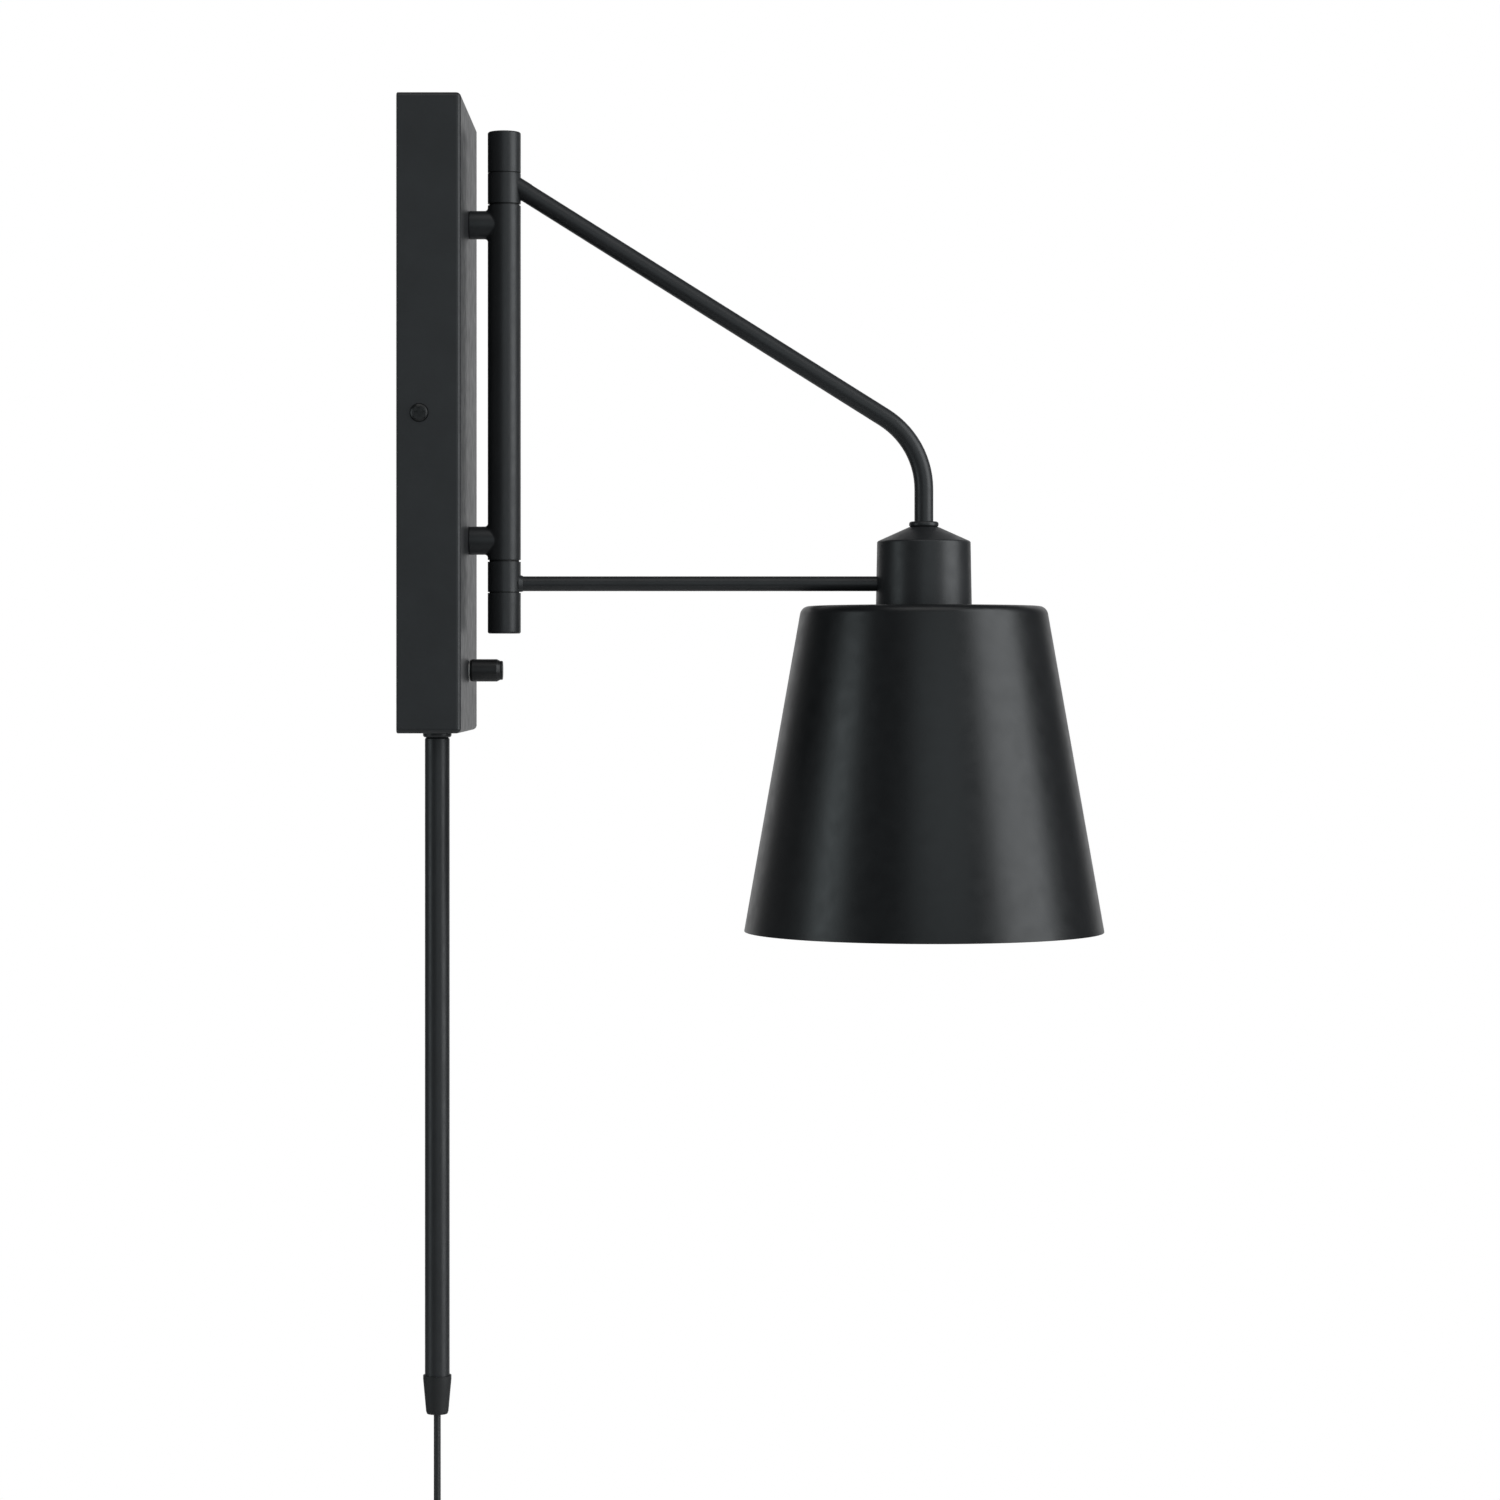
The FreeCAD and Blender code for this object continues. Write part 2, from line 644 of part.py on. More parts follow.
def standoff_fixings():
    """Hollow nipple and flange nut that pull each standoff against the canopy."""
    for name, height in (("upper", UPPER_STANDOFF), ("lower", LOWER_STANDOFF)):
        start = f"{PANEL_BACK} - nipple_inside"
        end = "( post_out - post_across / 2 + post_wall - nipple_short )"
        node(f"{name}_standoff_nipple", pipe(
            f"{name}_nipple", "nipple_across", "nipple_bore", f"{end} - ( {start} )",
            (start, "0", height), "+X"))
        bore = "nipple_across + 2 * seat_gap"
        flange = pipe(f"{name}_nut_flange", "flange_across", bore, "flange_thick",
                      (f"{PANEL_BACK} - flange_thick", "0", height), "+X")
        hexagon = hex_nut(f"{name}_nut", "nut_flats", bore, "nut_thick",
                          (f"{PANEL_BACK} - flange_thick - nut_thick", "0", height), "+X")
        node(f"{name}_standoff_nut", joined(f"{name}_flange_nut", [flange, hexagon]))


def spigot_section():
    """Half section of a pivot spigot that stands on the post's end and reaches into the cap."""
    through = ("( inner_ring_thick + sleeve_tall + outer_ring_thick + 2 * run_gap"
               " + spigot_in_cap )")
    inner, outer = "spigot_bore / 2", "spigot_across / 2"
    root = "( post_across / 2 - post_wall - seat_gap )"
    return ((inner, "0 - spigot_root"), (root, "0 - spigot_root"), (root, "0"),
            (outer, "0"), (outer, through), (inner, through))


def upper_spigot():
    """Hollow pin of the upper pivot, with a window on the arm's side for the lamp lead."""
    pin = turned("upper_pin", spigot_section(), ("post_out", "0", MID_TOP))
    low = f"( {UPPER_SLEEVE} + window_above )"
    high = f"( {UPPER_SLEEVE} + sleeve_tall - window_below )"
    reach = "( spigot_across + 2 * past )"
    window = block("upper_window", (reach, reach, f"{high} - {low}"),
                   (f"post_out + {reach} / 2 - window_inset", "0", f"( {high} + {low} ) / 2"))
    node("upper_pivot_spigot", cut("upper_spigot", pin, [window]))


def lower_spigot():
    """Hollow pin of the lower pivot, with a part-ring groove that the stop screw runs in."""
    pin = turned("lower_pin", spigot_section(), ("post_out", "0", MID_BOTTOM), "-Z")
    spare = "( stop_screw_across + stop_groove_spare )"
    low = f"( {LOWER_SLEEVE} + sleeve_tall / 2 - {spare} / 2 )"
    floor = "( spigot_across - 2 * stop_groove_deep )"
    half_screw = f"{RADIAN} * stop_screw_across / {floor}"
    span = f"( 2 * ( swing_each_way + swing_spare + {half_screw} ) )"
    sector = rod("stop_sector", "spigot_across + past", spare, ("post_out", "0", low))
    sector.setExpression("Angle", bound(span))
    middle_of_groove = 180
    sector.Placement.Rotation = FreeCAD.Rotation(FreeCAD.Vector(0, 0, 1), middle_of_groove / 2)
    sector.setExpression("Placement.Rotation.Angle", bound(f"{middle_of_groove} - {span} / 2"))
    core = rod("stop_core", floor, spare, ("post_out", "0", low))
    node("lower_pivot_spigot", cut("lower_spigot", pin, [cut("stop_groove", sector, [core])]))


def pivot_rings_and_caps():
    """Thrust rings that part the sleeves from post and caps, and the screwed-on caps."""
    bore = "spigot_across + 2 * seat_gap"
    places = (
        ("upper", MID_TOP, "+Z", TOP_CAP),
        ("lower", MID_BOTTOM, "-Z", BOTTOM_CAP),
    )
    for name, post_end, towards, cap_seat in places:
        node(f"{name}_inner_ring", pipe(
            f"{name}_inner", "ring_across", bore, "inner_ring_thick",
            ("post_out", "0", post_end), towards))
        sign = "-" if towards == "+Z" else "+"
        node(f"{name}_outer_ring", pipe(
            f"{name}_outer", "ring_across", bore, "outer_ring_thick",
            ("post_out", "0", f"{cap_seat} {sign} outer_ring_thick"), towards))
        wall, hole = "post_across / 2", f"( {bore} ) / 2"
        deep = "( spigot_in_cap + cap_end_gap )"
        cap = turned(f"{name}_cap_turned", (
            (hole, "0"), (wall, "0"), (wall, "cap_tall"), ("0", "cap_tall"),
            ("0", deep), (hole, deep)), ("post_out", "0", cap_seat), towards)
        rounded(cap, "cap_round", lambda edge: is_ring(edge, "post_across", "cap_tall"))
        node(f"{name}_post_cap", cap)


# ---------------------------------------------------------------- sleeves, arm and strut


def sleeve_ring(name, low):
    """Plain sleeve that turns on a spigot."""
    wall, bore = "post_across / 2", "( spigot_across / 2 + run_gap )"
    return turned(name, ((bore, "0"), (wall, "0"), (wall, "sleeve_tall"), (bore, "sleeve_tall")),
                  ("post_out", "0", low))


def along_arm(piece, across, length, start, height):
    """Makes PIECE a cylinder that slopes down with the arm, START being how far out it begins."""
    piece.setExpression("Radius", bound(f"( {across} ) / 2"))
    piece.setExpression("Height", bound(length))
    placed(piece, (start, "0", height), "+X")
    piece.setExpression("Placement.Rotation.Angle", bound("90 + arm_slope"))
    return piece


def above_and_below(name):
    """The room of the thrust rings, which the arm's joint with its sleeve is trimmed to."""
    across = "post_across + 2 * run_gap"
    return [
        rod(name + "_above", across, "sleeve_tall", ("post_out", "0", f"{UPPER_SLEEVE} + sleeve_tall")),
        rod(name + "_below", across, "sleeve_tall", ("post_out", "0", f"{UPPER_SLEEVE} - sleeve_tall")),
    ]


def upper_sleeve():
    """Sleeve with a slanted stub that the arm tube is brazed into."""
    ring = sleeve_ring("upper_ring", UPPER_SLEEVE)
    start = "post_across / 4"
    stub = along_arm(doc.addObject("Part::Cylinder", "arm_stub"),
                     "arm_across + 2 * flare_lip", "post_across / 4 + 4 * joint_flare",
                     f"post_out + {start}", f"{ARM_CROSSING} - {start} * tan( arm_slope )")
    socket = along_arm(doc.addObject("Part::Cylinder", "arm_socket"),
                       "arm_across + 2 * seat_gap", "post_across", "post_out", ARM_CROSSING)
    clear = rod("upper_ring_bore", "spigot_across + 2 * run_gap", "sleeve_tall + 2 * past",
                ("post_out", "0", f"{UPPER_SLEEVE} - past"))
    brazed = joined("upper_ring_joined", [ring, stub])
    node("upper_sleeve", cut(
        "upper_sleeve_bored", brazed, [socket, clear, *above_and_below("upper_ring")]))


def lower_sleeve():
    """Sleeve with a blind socket for the strut and a tapped hole for the stop screw."""
    ring = sleeve_ring("lower_ring", LOWER_SLEEVE)
    flare = doc.addObject("Part::Cone", "strut_flare")
    flare.setExpression("Radius1", bound("strut_across / 2 + joint_flare"))
    flare.setExpression("Radius2", bound("strut_across / 2 + flare_lip"))
    flare.setExpression("Height", bound("2 * joint_flare"))
    placed(flare, ("post_out + post_across / 2 - 2 * flare_sunk", "0", STRUT), "+X")
    socket = rod("strut_socket", "strut_across + 2 * seat_gap", "post_across",
                 ("post_out + spigot_across / 2 + strut_end_gap", "0", STRUT), "+X")
    tap = rod("stop_tap", "stop_screw_across + 2 * seat_gap", "post_across",
              ("post_out", "0", f"{LOWER_SLEEVE} + sleeve_tall / 2"), "-X")
    below = rod("lower_ring_below", "4 * post_across", "post_across",
                ("post_out", "0", f"{LOWER_SLEEVE} - post_across"))
    body = joined("lower_sleeve_brazed", [ring, flare])
    node("lower_sleeve", cut("lower_sleeve_bored", body, [socket, tap, below]))
    start = "( spigot_across / 2 - stop_groove_deep + stop_screw_gap )"
    node("stop_screw", rod(
        "stop_pin", "stop_screw_across", f"post_across / 2 - stop_screw_gap - {start}",
        (f"post_out - {start}", "0", f"{LOWER_SLEEVE} + sleeve_tall / 2"), "-X"))


def arm_tube():
    """Steel tube that slopes down from the upper sleeve and bends straight down into the cup."""
    body = doc.addObject("PartDesign::Body", "arm_bent")
    placed(body, ("post_out", "0", ARM_CROSSING), "+X")
    body.Placement.Rotation = FreeCAD.Rotation(FreeCAD.Vector(0, 1, 0), value("arm_slope"))
    body.setExpression("Placement.Rotation.Angle", bound("arm_slope"))
    run = f"( arm_reach / cos( arm_slope ) - {BEND_SETBACK} )"
    drop = f"( {ARM_CORNER} - {BEND_SETBACK} - {STEM_END} )"
    turn, bend = math.radians(90 - value("arm_slope")), value("arm_bend")
    first = FreeCAD.Vector(value(run), 0, 0)
    last = first + FreeCAD.Vector(bend * math.sin(turn), -bend * (1 - math.cos(turn)), 0)
    middle = first + FreeCAD.Vector(bend * math.sin(turn / 2), -bend * (1 - math.cos(turn / 2)), 0)
    foot = last + FreeCAD.Vector(math.cos(turn), -math.sin(turn), 0) * value(drop)
    path = flat_sketch(body, "arm_path", "XZ_Plane")
    path.addGeometry(Part.LineSegment(FreeCAD.Vector(), first), False)
    path.addGeometry(Part.Arc(first, middle, last), False)
    path.addGeometry(Part.LineSegment(last, foot), False)
    # the arc runs clockwise, so the sketch keeps its start at the last point
    for rule in (("Coincident", 0, 1, -1, 1), ("Horizontal", 0),
                 ("Tangent", 0, 2, 1, 2), ("Tangent", 1, 1, 2, 1)):
        path.addConstraint(Sketcher.Constraint(*rule))
    sizes = (
        ("run", Sketcher.Constraint("Distance", 0, value(run)), run),
        ("bend", Sketcher.Constraint("Radius", 1, bend), "arm_bend"),
        ("drop", Sketcher.Constraint("Distance", 2, value(drop)), drop),
    )
    for name, rule, text in sizes:
        index = path.addConstraint(rule)
        path.renameConstraint(index, name)
        path.setExpression(f"Constraints.{name}", bound(text))
    foot_x = f"( {run} + arm_bend * cos( arm_slope ) + {drop} * sin( arm_slope ) )"
    tie(path, "DistanceX", (2, 2), foot_x)
    ring = discs(body, "arm_ring", "YZ_Plane",
                 (("0", "0", "arm_across"), ("0", "0", "arm_across - 2 * arm_wall")))
    tube = body.newObject("PartDesign::AdditivePipe", "arm_sweep")
    tube.Profile = ring
    tube.Spine = path
    clear = rod("arm_end_clear", "spigot_across + 2 * run_gap", "2 * post_across",
                ("post_out", "0", f"{ARM_CROSSING} - post_across"))
    node("arm_tube", cut("arm_tube_cut", body, [clear, *above_and_below("arm_end")]))


def strut_rod():
    """Thin solid strut from the lower sleeve into the side of the cup."""
    start = "( post_out + spigot_across / 2 + strut_end_gap )"
    end = f"( {HEAD_OUT} - cup_rim_across / 2 + cup_sheet )"
    node("strut_rod", rod("strut", "strut_across", f"{end} - {start}", (start, "0", STRUT), "+X"))


# ---------------------------------------------------------------- lampholder cup


def stem_parts():
    """Collar above the cup, and the two nuts that clamp the cup and strap on the tube."""
    bore = "( arm_across + 2 * seat_gap )"
    wall = "stem_collar_across / 2"
    collar = turned("collar_turned", (
        (f"{bore} / 2", "0"), (wall, "0"), (wall, "stem_collar_tall"),
        (f"{bore} / 2", "stem_collar_tall")), (HEAD_OUT, "0", CUP_TOP))
    rounded(collar, "stem_collar_round", lambda edge: is_ring(
        edge, "stem_collar_across", "stem_collar_tall") or is_ring(edge, "stem_collar_across", "0"))
    node("stem_collar", collar)
    for number, top in enumerate((STEM_NUT_TOP, SOCKET_TOP), 1):
        node(f"stem_nut_{number}", hex_nut(
            f"stem_nut_{number}_piece", "stem_nut_flats", bore, "stem_nut_thick",
            (HEAD_OUT, "0", f"{top} - stem_nut_thick"), "+Z"))


def socket_cup():
    """Drawn steel cup with a cone top; the strut comes in through a hole in its side."""
    top, shoulder = "cup_top_across / 2", "cup_shoulder_across / 2"
    rim, sheet_up = "cup_rim_across / 2", "( cup_side_tall + cup_cone_tall )"
    bore = "( arm_across / 2 + seat_gap )"
    slope = f"( cup_cone_tall / ( {shoulder} - {top} ) )"
    slant = f"( cup_sheet * sqrt( 1 + {slope} * {slope} ) )"
    cup = turned("cup_drawn", (
        (bore, sheet_up), (top, sheet_up), (shoulder, "cup_side_tall"), (rim, "0"),
        (f"{rim} - cup_sheet", "0"), (f"{shoulder} - cup_sheet", f"cup_side_tall - {slant}"),
        (top, f"{sheet_up} - {slant}"), (bore, f"{sheet_up} - {slant}")), (HEAD_OUT, "0", CUP_RIM))
    rounded(cup, "cup_round", lambda edge: is_ring(edge, "cup_shoulder_across", "cup_side_tall"))
    hole = rod("cup_strut_hole", "strut_across + 2 * seat_gap", "cup_sheet + 5 * past",
               (f"{HEAD_OUT} - cup_rim_across / 2 - 2 * past", "0", STRUT), "+X")
    node("socket_cup", cut("cup", cup, [hole]))


def socket_strap():
    """Steel strap between the stem's two nuts, screwed to the socket's top."""
    plate = block("strap_plate", ("strap_wide", "strap_long", "strap_thick"),
                  (HEAD_OUT, "0", f"{STRAP_TOP} - strap_thick / 2"))
    through = ("strap_thick + 2 * past", f"{SOCKET_TOP} - past")
    holes = [rod("strap_hole", "arm_across + hole_gap", through[0],
                 (HEAD_OUT, "0", through[1]))]
    for number, sign in ((1, "0 -"), (2, "0 +")):
        at = (HEAD_OUT, f"{sign} strap_screw_spacing / 2", through[1])
        holes.append(rod(f"strap_screw_hole_{number}", "strap_screw_across + hole_gap", through[0], at))
    node("socket_strap", cut("strap", plate, holes))
    for number, sign in ((1, "0 -"), (2, "0 +")):
        at = (HEAD_OUT, f"{sign} strap_screw_spacing / 2", STRAP_TOP)
        node(f"socket_screw_{number}", cross_screw(
            f"strap_screw_{number}", "strap_screw_across", "strap_screw_head",
            "strap_screw_head_tall", "strap_screw_long", at, "+Z"))


def socket_body():
    """Moulded lamp socket: a plain upper part in the cup and a skirt that takes the shade ring."""
    upper, skirt = "socket_upper_across / 2", "socket_skirt_across / 2"
    well = "( shell_bore / 2 + shell_sheet + seat_gap )"
    tall = f"( {SOCKET_TOP} - {SOCKET_MOUTH} )"
    contact_room = "( contact_across / 2 + contact_gap )"
    floor = "( socket_well + contact_thick - contact_proud )"
    recess = "( stem_nut_flats / 2 / cos( 30 ) + socket_nut_gap )"
    nut_room = "( stem_nut_thick + stem_past_nut + stem_end_gap )"
    moulded = turned("socket_moulded", (
        (well, "0"), (skirt, "0"), (skirt, f"{tall} - socket_upper_tall"),
        (upper, f"{tall} - socket_upper_tall"), (upper, tall), (recess, tall),
        (recess, f"{tall} - {nut_room}"), ("0", f"{tall} - {nut_room}"),
        ("0", floor), (contact_room, floor), (contact_room, "socket_well"), (well, "socket_well")),
        (HEAD_OUT, "0", SOCKET_MOUTH))
    rounded(moulded, "socket_round", lambda edge: is_ring(edge, "socket_skirt_across", "0"))
    taps = []
    for number, sign in ((1, "0 -"), (2, "0 +")):
        at = (HEAD_OUT, f"{sign} strap_screw_spacing / 2", f"{SOCKET_TOP} - strap_screw_long")
        taps.append(rod(f"socket_tap_{number}", "strap_screw_across + 2 * seat_gap",
                        "strap_screw_long + past", at))
    node("socket_body", cut("socket", moulded, taps))


def socket_contacts():
    """Brass screw shell of the socket, and the contact at the bottom of its well."""
    node("socket_screw_shell", pipe(
        "shell", "shell_bore + 2 * shell_sheet", "shell_bore", "shell_long",
        (HEAD_OUT, "0", f"{SOCKET_MOUTH} + shell_inset")))
    wide = "contact_across / 2"
    node("socket_centre_contact", turned("contact_pressed", (
        ("0", "0"), (f"{wide} / 2", "0"), (wide, "contact_thick / 2"), (wide, "contact_thick"),
        ("0", "contact_thick")), (HEAD_OUT, "0", f"{SOCKET_MOUTH} + socket_well - contact_proud")))


def shade_and_ring():
    """Spun steel cone shade, clamped to the cup's rim by a ring screwed on the socket's skirt."""
    hole = "( socket_skirt_across / 2 + shade_hole_gap )"
    top, rim = "shade_top_across / 2", "shade_rim_across / 2"
    slope = "( ( shade_rim_across - shade_top_across ) / 2 / shade_tall )"
    thick = f"( shade_sheet * sqrt( 1 + {slope} * {slope} ) )"
    corner = f"( {top} - {thick} + {slope} * shade_sheet )"
    shade = turned("shade_spun", (
        (hole, "0"), (top, "0"), (rim, "0 - shade_tall"), (f"{rim} - {thick}", "0 - shade_tall"),
        (corner, "0 - shade_sheet"), (hole, "0 - shade_sheet")), (HEAD_OUT, "0", CUP_RIM))
    rounded(shade, "shade_round", lambda edge: is_ring(edge, "shade_top_across", "0"))
    inner = shade.newObject("PartDesign::Fillet", "shade_inner_rounded")
    doc.recompute()
    base = next(piece for piece in shade.Group if piece.Name == "shade_spun_rounded")
    inner.Base = (base, [
        f"Edge{number}" for number, edge in enumerate(base.Shape.Edges, 1)
        if is_ring(edge, f"2 * {corner}", "0 - shade_sheet")])
    inner.setExpression("Radius", bound("shade_round - shade_sheet"))
    node("shade", shade)
    bore = "( socket_skirt_across / 2 + seat_gap )"
    wall, grip = "shade_ring_across / 2", "( shade_ring_across / 2 - shade_ring_step )"
    ring = turned("shade_ring_moulded", (
        (bore, "0 - shade_ring_tall"), (grip, "0 - shade_ring_tall"),
        (grip, "0 - shade_ring_lip"), (wall, "0 - shade_ring_lip"), (wall, "0"), (bore, "0")),
        (HEAD_OUT, "0", SHADE_UNDER))
    node("shade_ring", ring)


# ---------------------------------------------------------------- switch


def switch_parts():
    """Rotary switch behind the front panel: case, bushing, thin nut, shaft and knob."""
    up = "( 0 - switch_drop )"
    front = "( canopy_depth + knob_gap )"
    node("switch_case", block(
        "switch_box", ("switch_case_deep", "switch_case_wide", "switch_case_tall"),
        (f"{PANEL_BACK} - switch_case_deep / 2", "0", up)))
    bore = "( shaft_across + 2 * run_gap )"
    node("switch_bushing", pipe(
        "bushing", "switch_bushing_across", bore, "canopy_sheet + switch_bushing_out",
        (PANEL_BACK, "0", up), "+X"))
    node("switch_nut", pipe(
        "thin_nut", "switch_nut_across", "switch_bushing_across + 2 * seat_gap",
        "switch_nut_thick", ("canopy_depth", "0", up), "+X"))
    node("switch_shaft", rod(
        "shaft", "shaft_across", "canopy_sheet + knob_gap + knob_long - knob_face - shaft_end_gap",
        (f"{PANEL_BACK} + shaft_end_gap", "0", up), "+X"))
    wall, tip = "knob_across / 2", "knob_tip_across / 2"
    hollow = "( switch_nut_across / 2 + knob_nut_gap )"
    deep = "( switch_bushing_out - knob_gap + knob_floor_gap )"
    fit = "( shaft_across / 2 + seat_gap )"
    knob = turned("knob_turned", (
        (hollow, "0"), (f"{wall} - knob_chamfer / 2", "0"), (wall, "knob_chamfer"),
        (wall, "knob_long - knob_edge"), (tip, "knob_long"),
        (tip, "knob_long + knob_tip_long - knob_tip_edge"),
        (f"{tip} - knob_tip_edge", "knob_long + knob_tip_long"), ("0", "knob_long + knob_tip_long"),
        ("0", "knob_long - knob_face"), (fit, "knob_long - knob_face"), (fit, deep), (hollow, deep)),
        (front, "0", up), "+X")
    node("switch_knob", knob)


# ---------------------------------------------------------------- cord cover


def cord_cover():
    """Straight tube that hides the cord below the canopy, with its collar and end ferrule."""
    bore = "( cover_across - 2 * cover_wall )"
    axis = ("cord_out", "0")
    wall, inner = "cover_across / 2", f"( {bore} / 2 )"
    top = "( cover_long + ferrule_socket - cover_collar_tall )"
    node("cord_cover_tube", turned("cover_drawn", (
        (inner, "0"), (wall, "0"), (wall, f"{top} - cover_chamfer"),
        (f"{wall} - cover_chamfer", top), (inner, top)),
        (*axis, f"{CANOPY_FLOOR} - cover_long - ferrule_socket")))
    rim, seat = "cover_collar_across / 2", "( cord_nipple_across / 2 + seat_gap )"
    collar = turned("cover_collar_turned", (
        (seat, "0"), (rim, "0"), (rim, "cover_collar_tall"), (seat, "cover_collar_tall")),
        (*axis, CANOPY_FLOOR), "-Z")
    rounded(collar, "cover_collar_round", lambda edge: is_ring(
        edge, "cover_collar_across", "cover_collar_tall") or is_ring(edge, "cover_collar_across", "0"))
    node("cord_cover_collar", collar)
    hole = "( cover_across / 2 + seat_gap )"
    wide, tip = "ferrule_across / 2", "ferrule_tip_across / 2"
    mouth = "( cord_nipple_bore / 2 )"
    ferrule = turned("ferrule_turned", (
        (mouth, "0"), (tip, "0"), (f"{tip} + ferrule_lip", "ferrule_lip_tall"),
        (wide, "ferrule_tall - ferrule_top_tall"), (wide, "ferrule_tall"), (hole, "ferrule_tall"),
        (hole, "ferrule_tall - ferrule_socket"), (mouth, "ferrule_tall - ferrule_socket")),
        (*axis, CORD_EXIT))
    node("tube_end_ferrule", ferrule)
    low = f"( {CANOPY_FLOOR} - cord_nipple_below )"
    node("cord_nipple", pipe(
        "cord_nipple_piece", "cord_nipple_across", "cord_nipple_bore",
        "cord_nipple_below + cord_nipple_above", (*axis, low)))
    node("cord_nipple_nut", hex_nut(
        "cord_nut", "cord_nut_flats", "cord_nipple_across + 2 * seat_gap", "cord_nut_thick",
        (*axis, f"{CANOPY_FLOOR} + canopy_sheet"), "+Z"))


# ---------------------------------------------------------------- wiring


def wiring():
    """Supply cord in the cover and canopy, wire connectors, and the lead to the lamp."""
    supply = [("cord_out", "0", CORD_EXIT), ("cord_out", "0", "0 - supply_low_drop"),
              ("supply_lane", "0", "0 - supply_high_drop"), ("supply_lane", "0", "0 - supply_end_drop")]
    bend = value("supply_bend")
    node("supply_lead", swept("supply", "cord_wide", [spot(*at) for at in supply], (bend, bend)))
    node("strain_relief_clamp", pipe(
        "clamp", "cord_wide + 2 * clamp_wall", "cord_wide + 2 * seat_gap", "clamp_tall",
        ("supply_lane", "0", "0 - clamp_drop")))
    for number, sign in ((1, "0 -"), (2, "0 +")):
        aside, mouth = f"( {sign} connector_aside )", "0 - connector_drop"
        node(f"wire_connector_{number}", turned(f"connector_{number}", (
            ("0", "0"), ("connector_across / 2", "0"),
            ("connector_grip_across / 2", "connector_grip_long"),
            ("connector_tip_across / 2", "connector_long"), ("0", "connector_long")),
            ("connector_out", aside, mouth)))
        pin, turn = f"( {sign} wire_aside )", "0 - wire_turn_drop"
        wire = [("wire_out", pin, "0 - switch_drop + switch_case_tall / 2"), ("wire_out", pin, turn),
                ("connector_out", aside, turn), ("connector_out", aside, mouth)]
        bend = value("wire_bend")
        node(f"switch_wire_{number}", swept(
            f"switch_wire_{number}_piece", "wire_across", [spot(*at) for at in wire], (bend, bend)))
    split = f"( {UPPER_SLEEVE} + lead_split_up )"
    fixed = [("lead_lane", "0", "0 - lead_start_drop"), ("lead_lane", "0", UPPER_STANDOFF),
             ("post_out", "0", UPPER_STANDOFF), ("post_out", "0", split)]
    node("lamp_lead_fixed", swept("lead_fixed", "lead_across", [spot(*at) for at in fixed],
                                  (value("lead_bend"), value("lead_post_bend"))))
    moving = [("post_out", "0", f"{split} + lead_split_gap"), ("post_out", "0", ARM_CROSSING),
              (HEAD_OUT, "0", ARM_CORNER), (HEAD_OUT, "0", f"{STEM_END} - stem_end_gap + lead_end_gap")]
    node("lamp_lead_arm", swept("lead_arm", "lead_across", [spot(*at) for at in moving],
                                (value("lead_arm_bend"), value("arm_bend"))))


# ---------------------------------------------------------------- free cord, coil and plug

# the free cord hangs straight, then bends once to meet the coil's outer turn
COIL_MEETS_AT = 50.0
# its bend's radius, in widths of the cord
CORD_BEND = 5


def cord_and_plug():
    """Free cord below the ferrule, the tied coil of the rest, its tail and the plug."""
    half = "( coil_layers * coil_pitch / 2 )"
    outer = value(f"coil_mid_radius + {half} - coil_pitch / 2")
    angle = math.radians(COIL_MEETS_AT)
    middle = value(COIL_MID)
    meet = spot("cord_out", "0", "0") + FreeCAD.Vector(
        0, outer * math.cos(angle), middle + outer * math.sin(angle))
    way = FreeCAD.Vector(0, -math.sin(angle), math.cos(angle))
    corner = meet + way * (meet.y / math.sin(angle))
    start = spot("cord_out", "0", CORD_EXIT)
    bend = CORD_BEND * value("cord_wide")
    node("power_cord", swept("cord_down", "cord_wide", [start, corner, meet], (bend,)))
    print("cord arc radius", bend)
    length = "( 2 * cord_wide + 2 * lie_gap )"
    node("cord_coil", pipe(
        "coil_ring", f"2 * ( coil_mid_radius + {half} )", f"2 * ( coil_mid_radius - {half} )",
        length, (f"{COIL_OUT} - {length} / 2", "0", COIL_MID), "+X"))
    tail_out = f"( {COIL_OUT} + cord_wide / 2 + lie_gap )"
    tail_aside = f"( coil_mid_radius + {half} - coil_pitch / 2 )"
    node("cord_tail", rod("tail", "cord_wide", "coil_tail", (tail_out, tail_aside, COIL_MID), "-Z"))
    tie_ring(length, half)
    plug(tail_out, tail_aside)


def tie_ring(length, half):
    """Band around the coil's bundle, opposite the place where the cord joins."""
    deep, wide = f"( {length} + 2 * tie_gap )", f"( 2 * {half} + 2 * tie_gap )"
    at = (COIL_OUT, "0 - coil_mid_radius", COIL_MID)
    outer = block("tie_outer", (f"{deep} + 2 * tie_band", f"{wide} + 2 * tie_band", "tie_wide"), at)
    inner = block("tie_inner", (deep, wide, "tie_wide + past"), at)
    node("cord_tie", cut("tie_band", outer, [inner]))


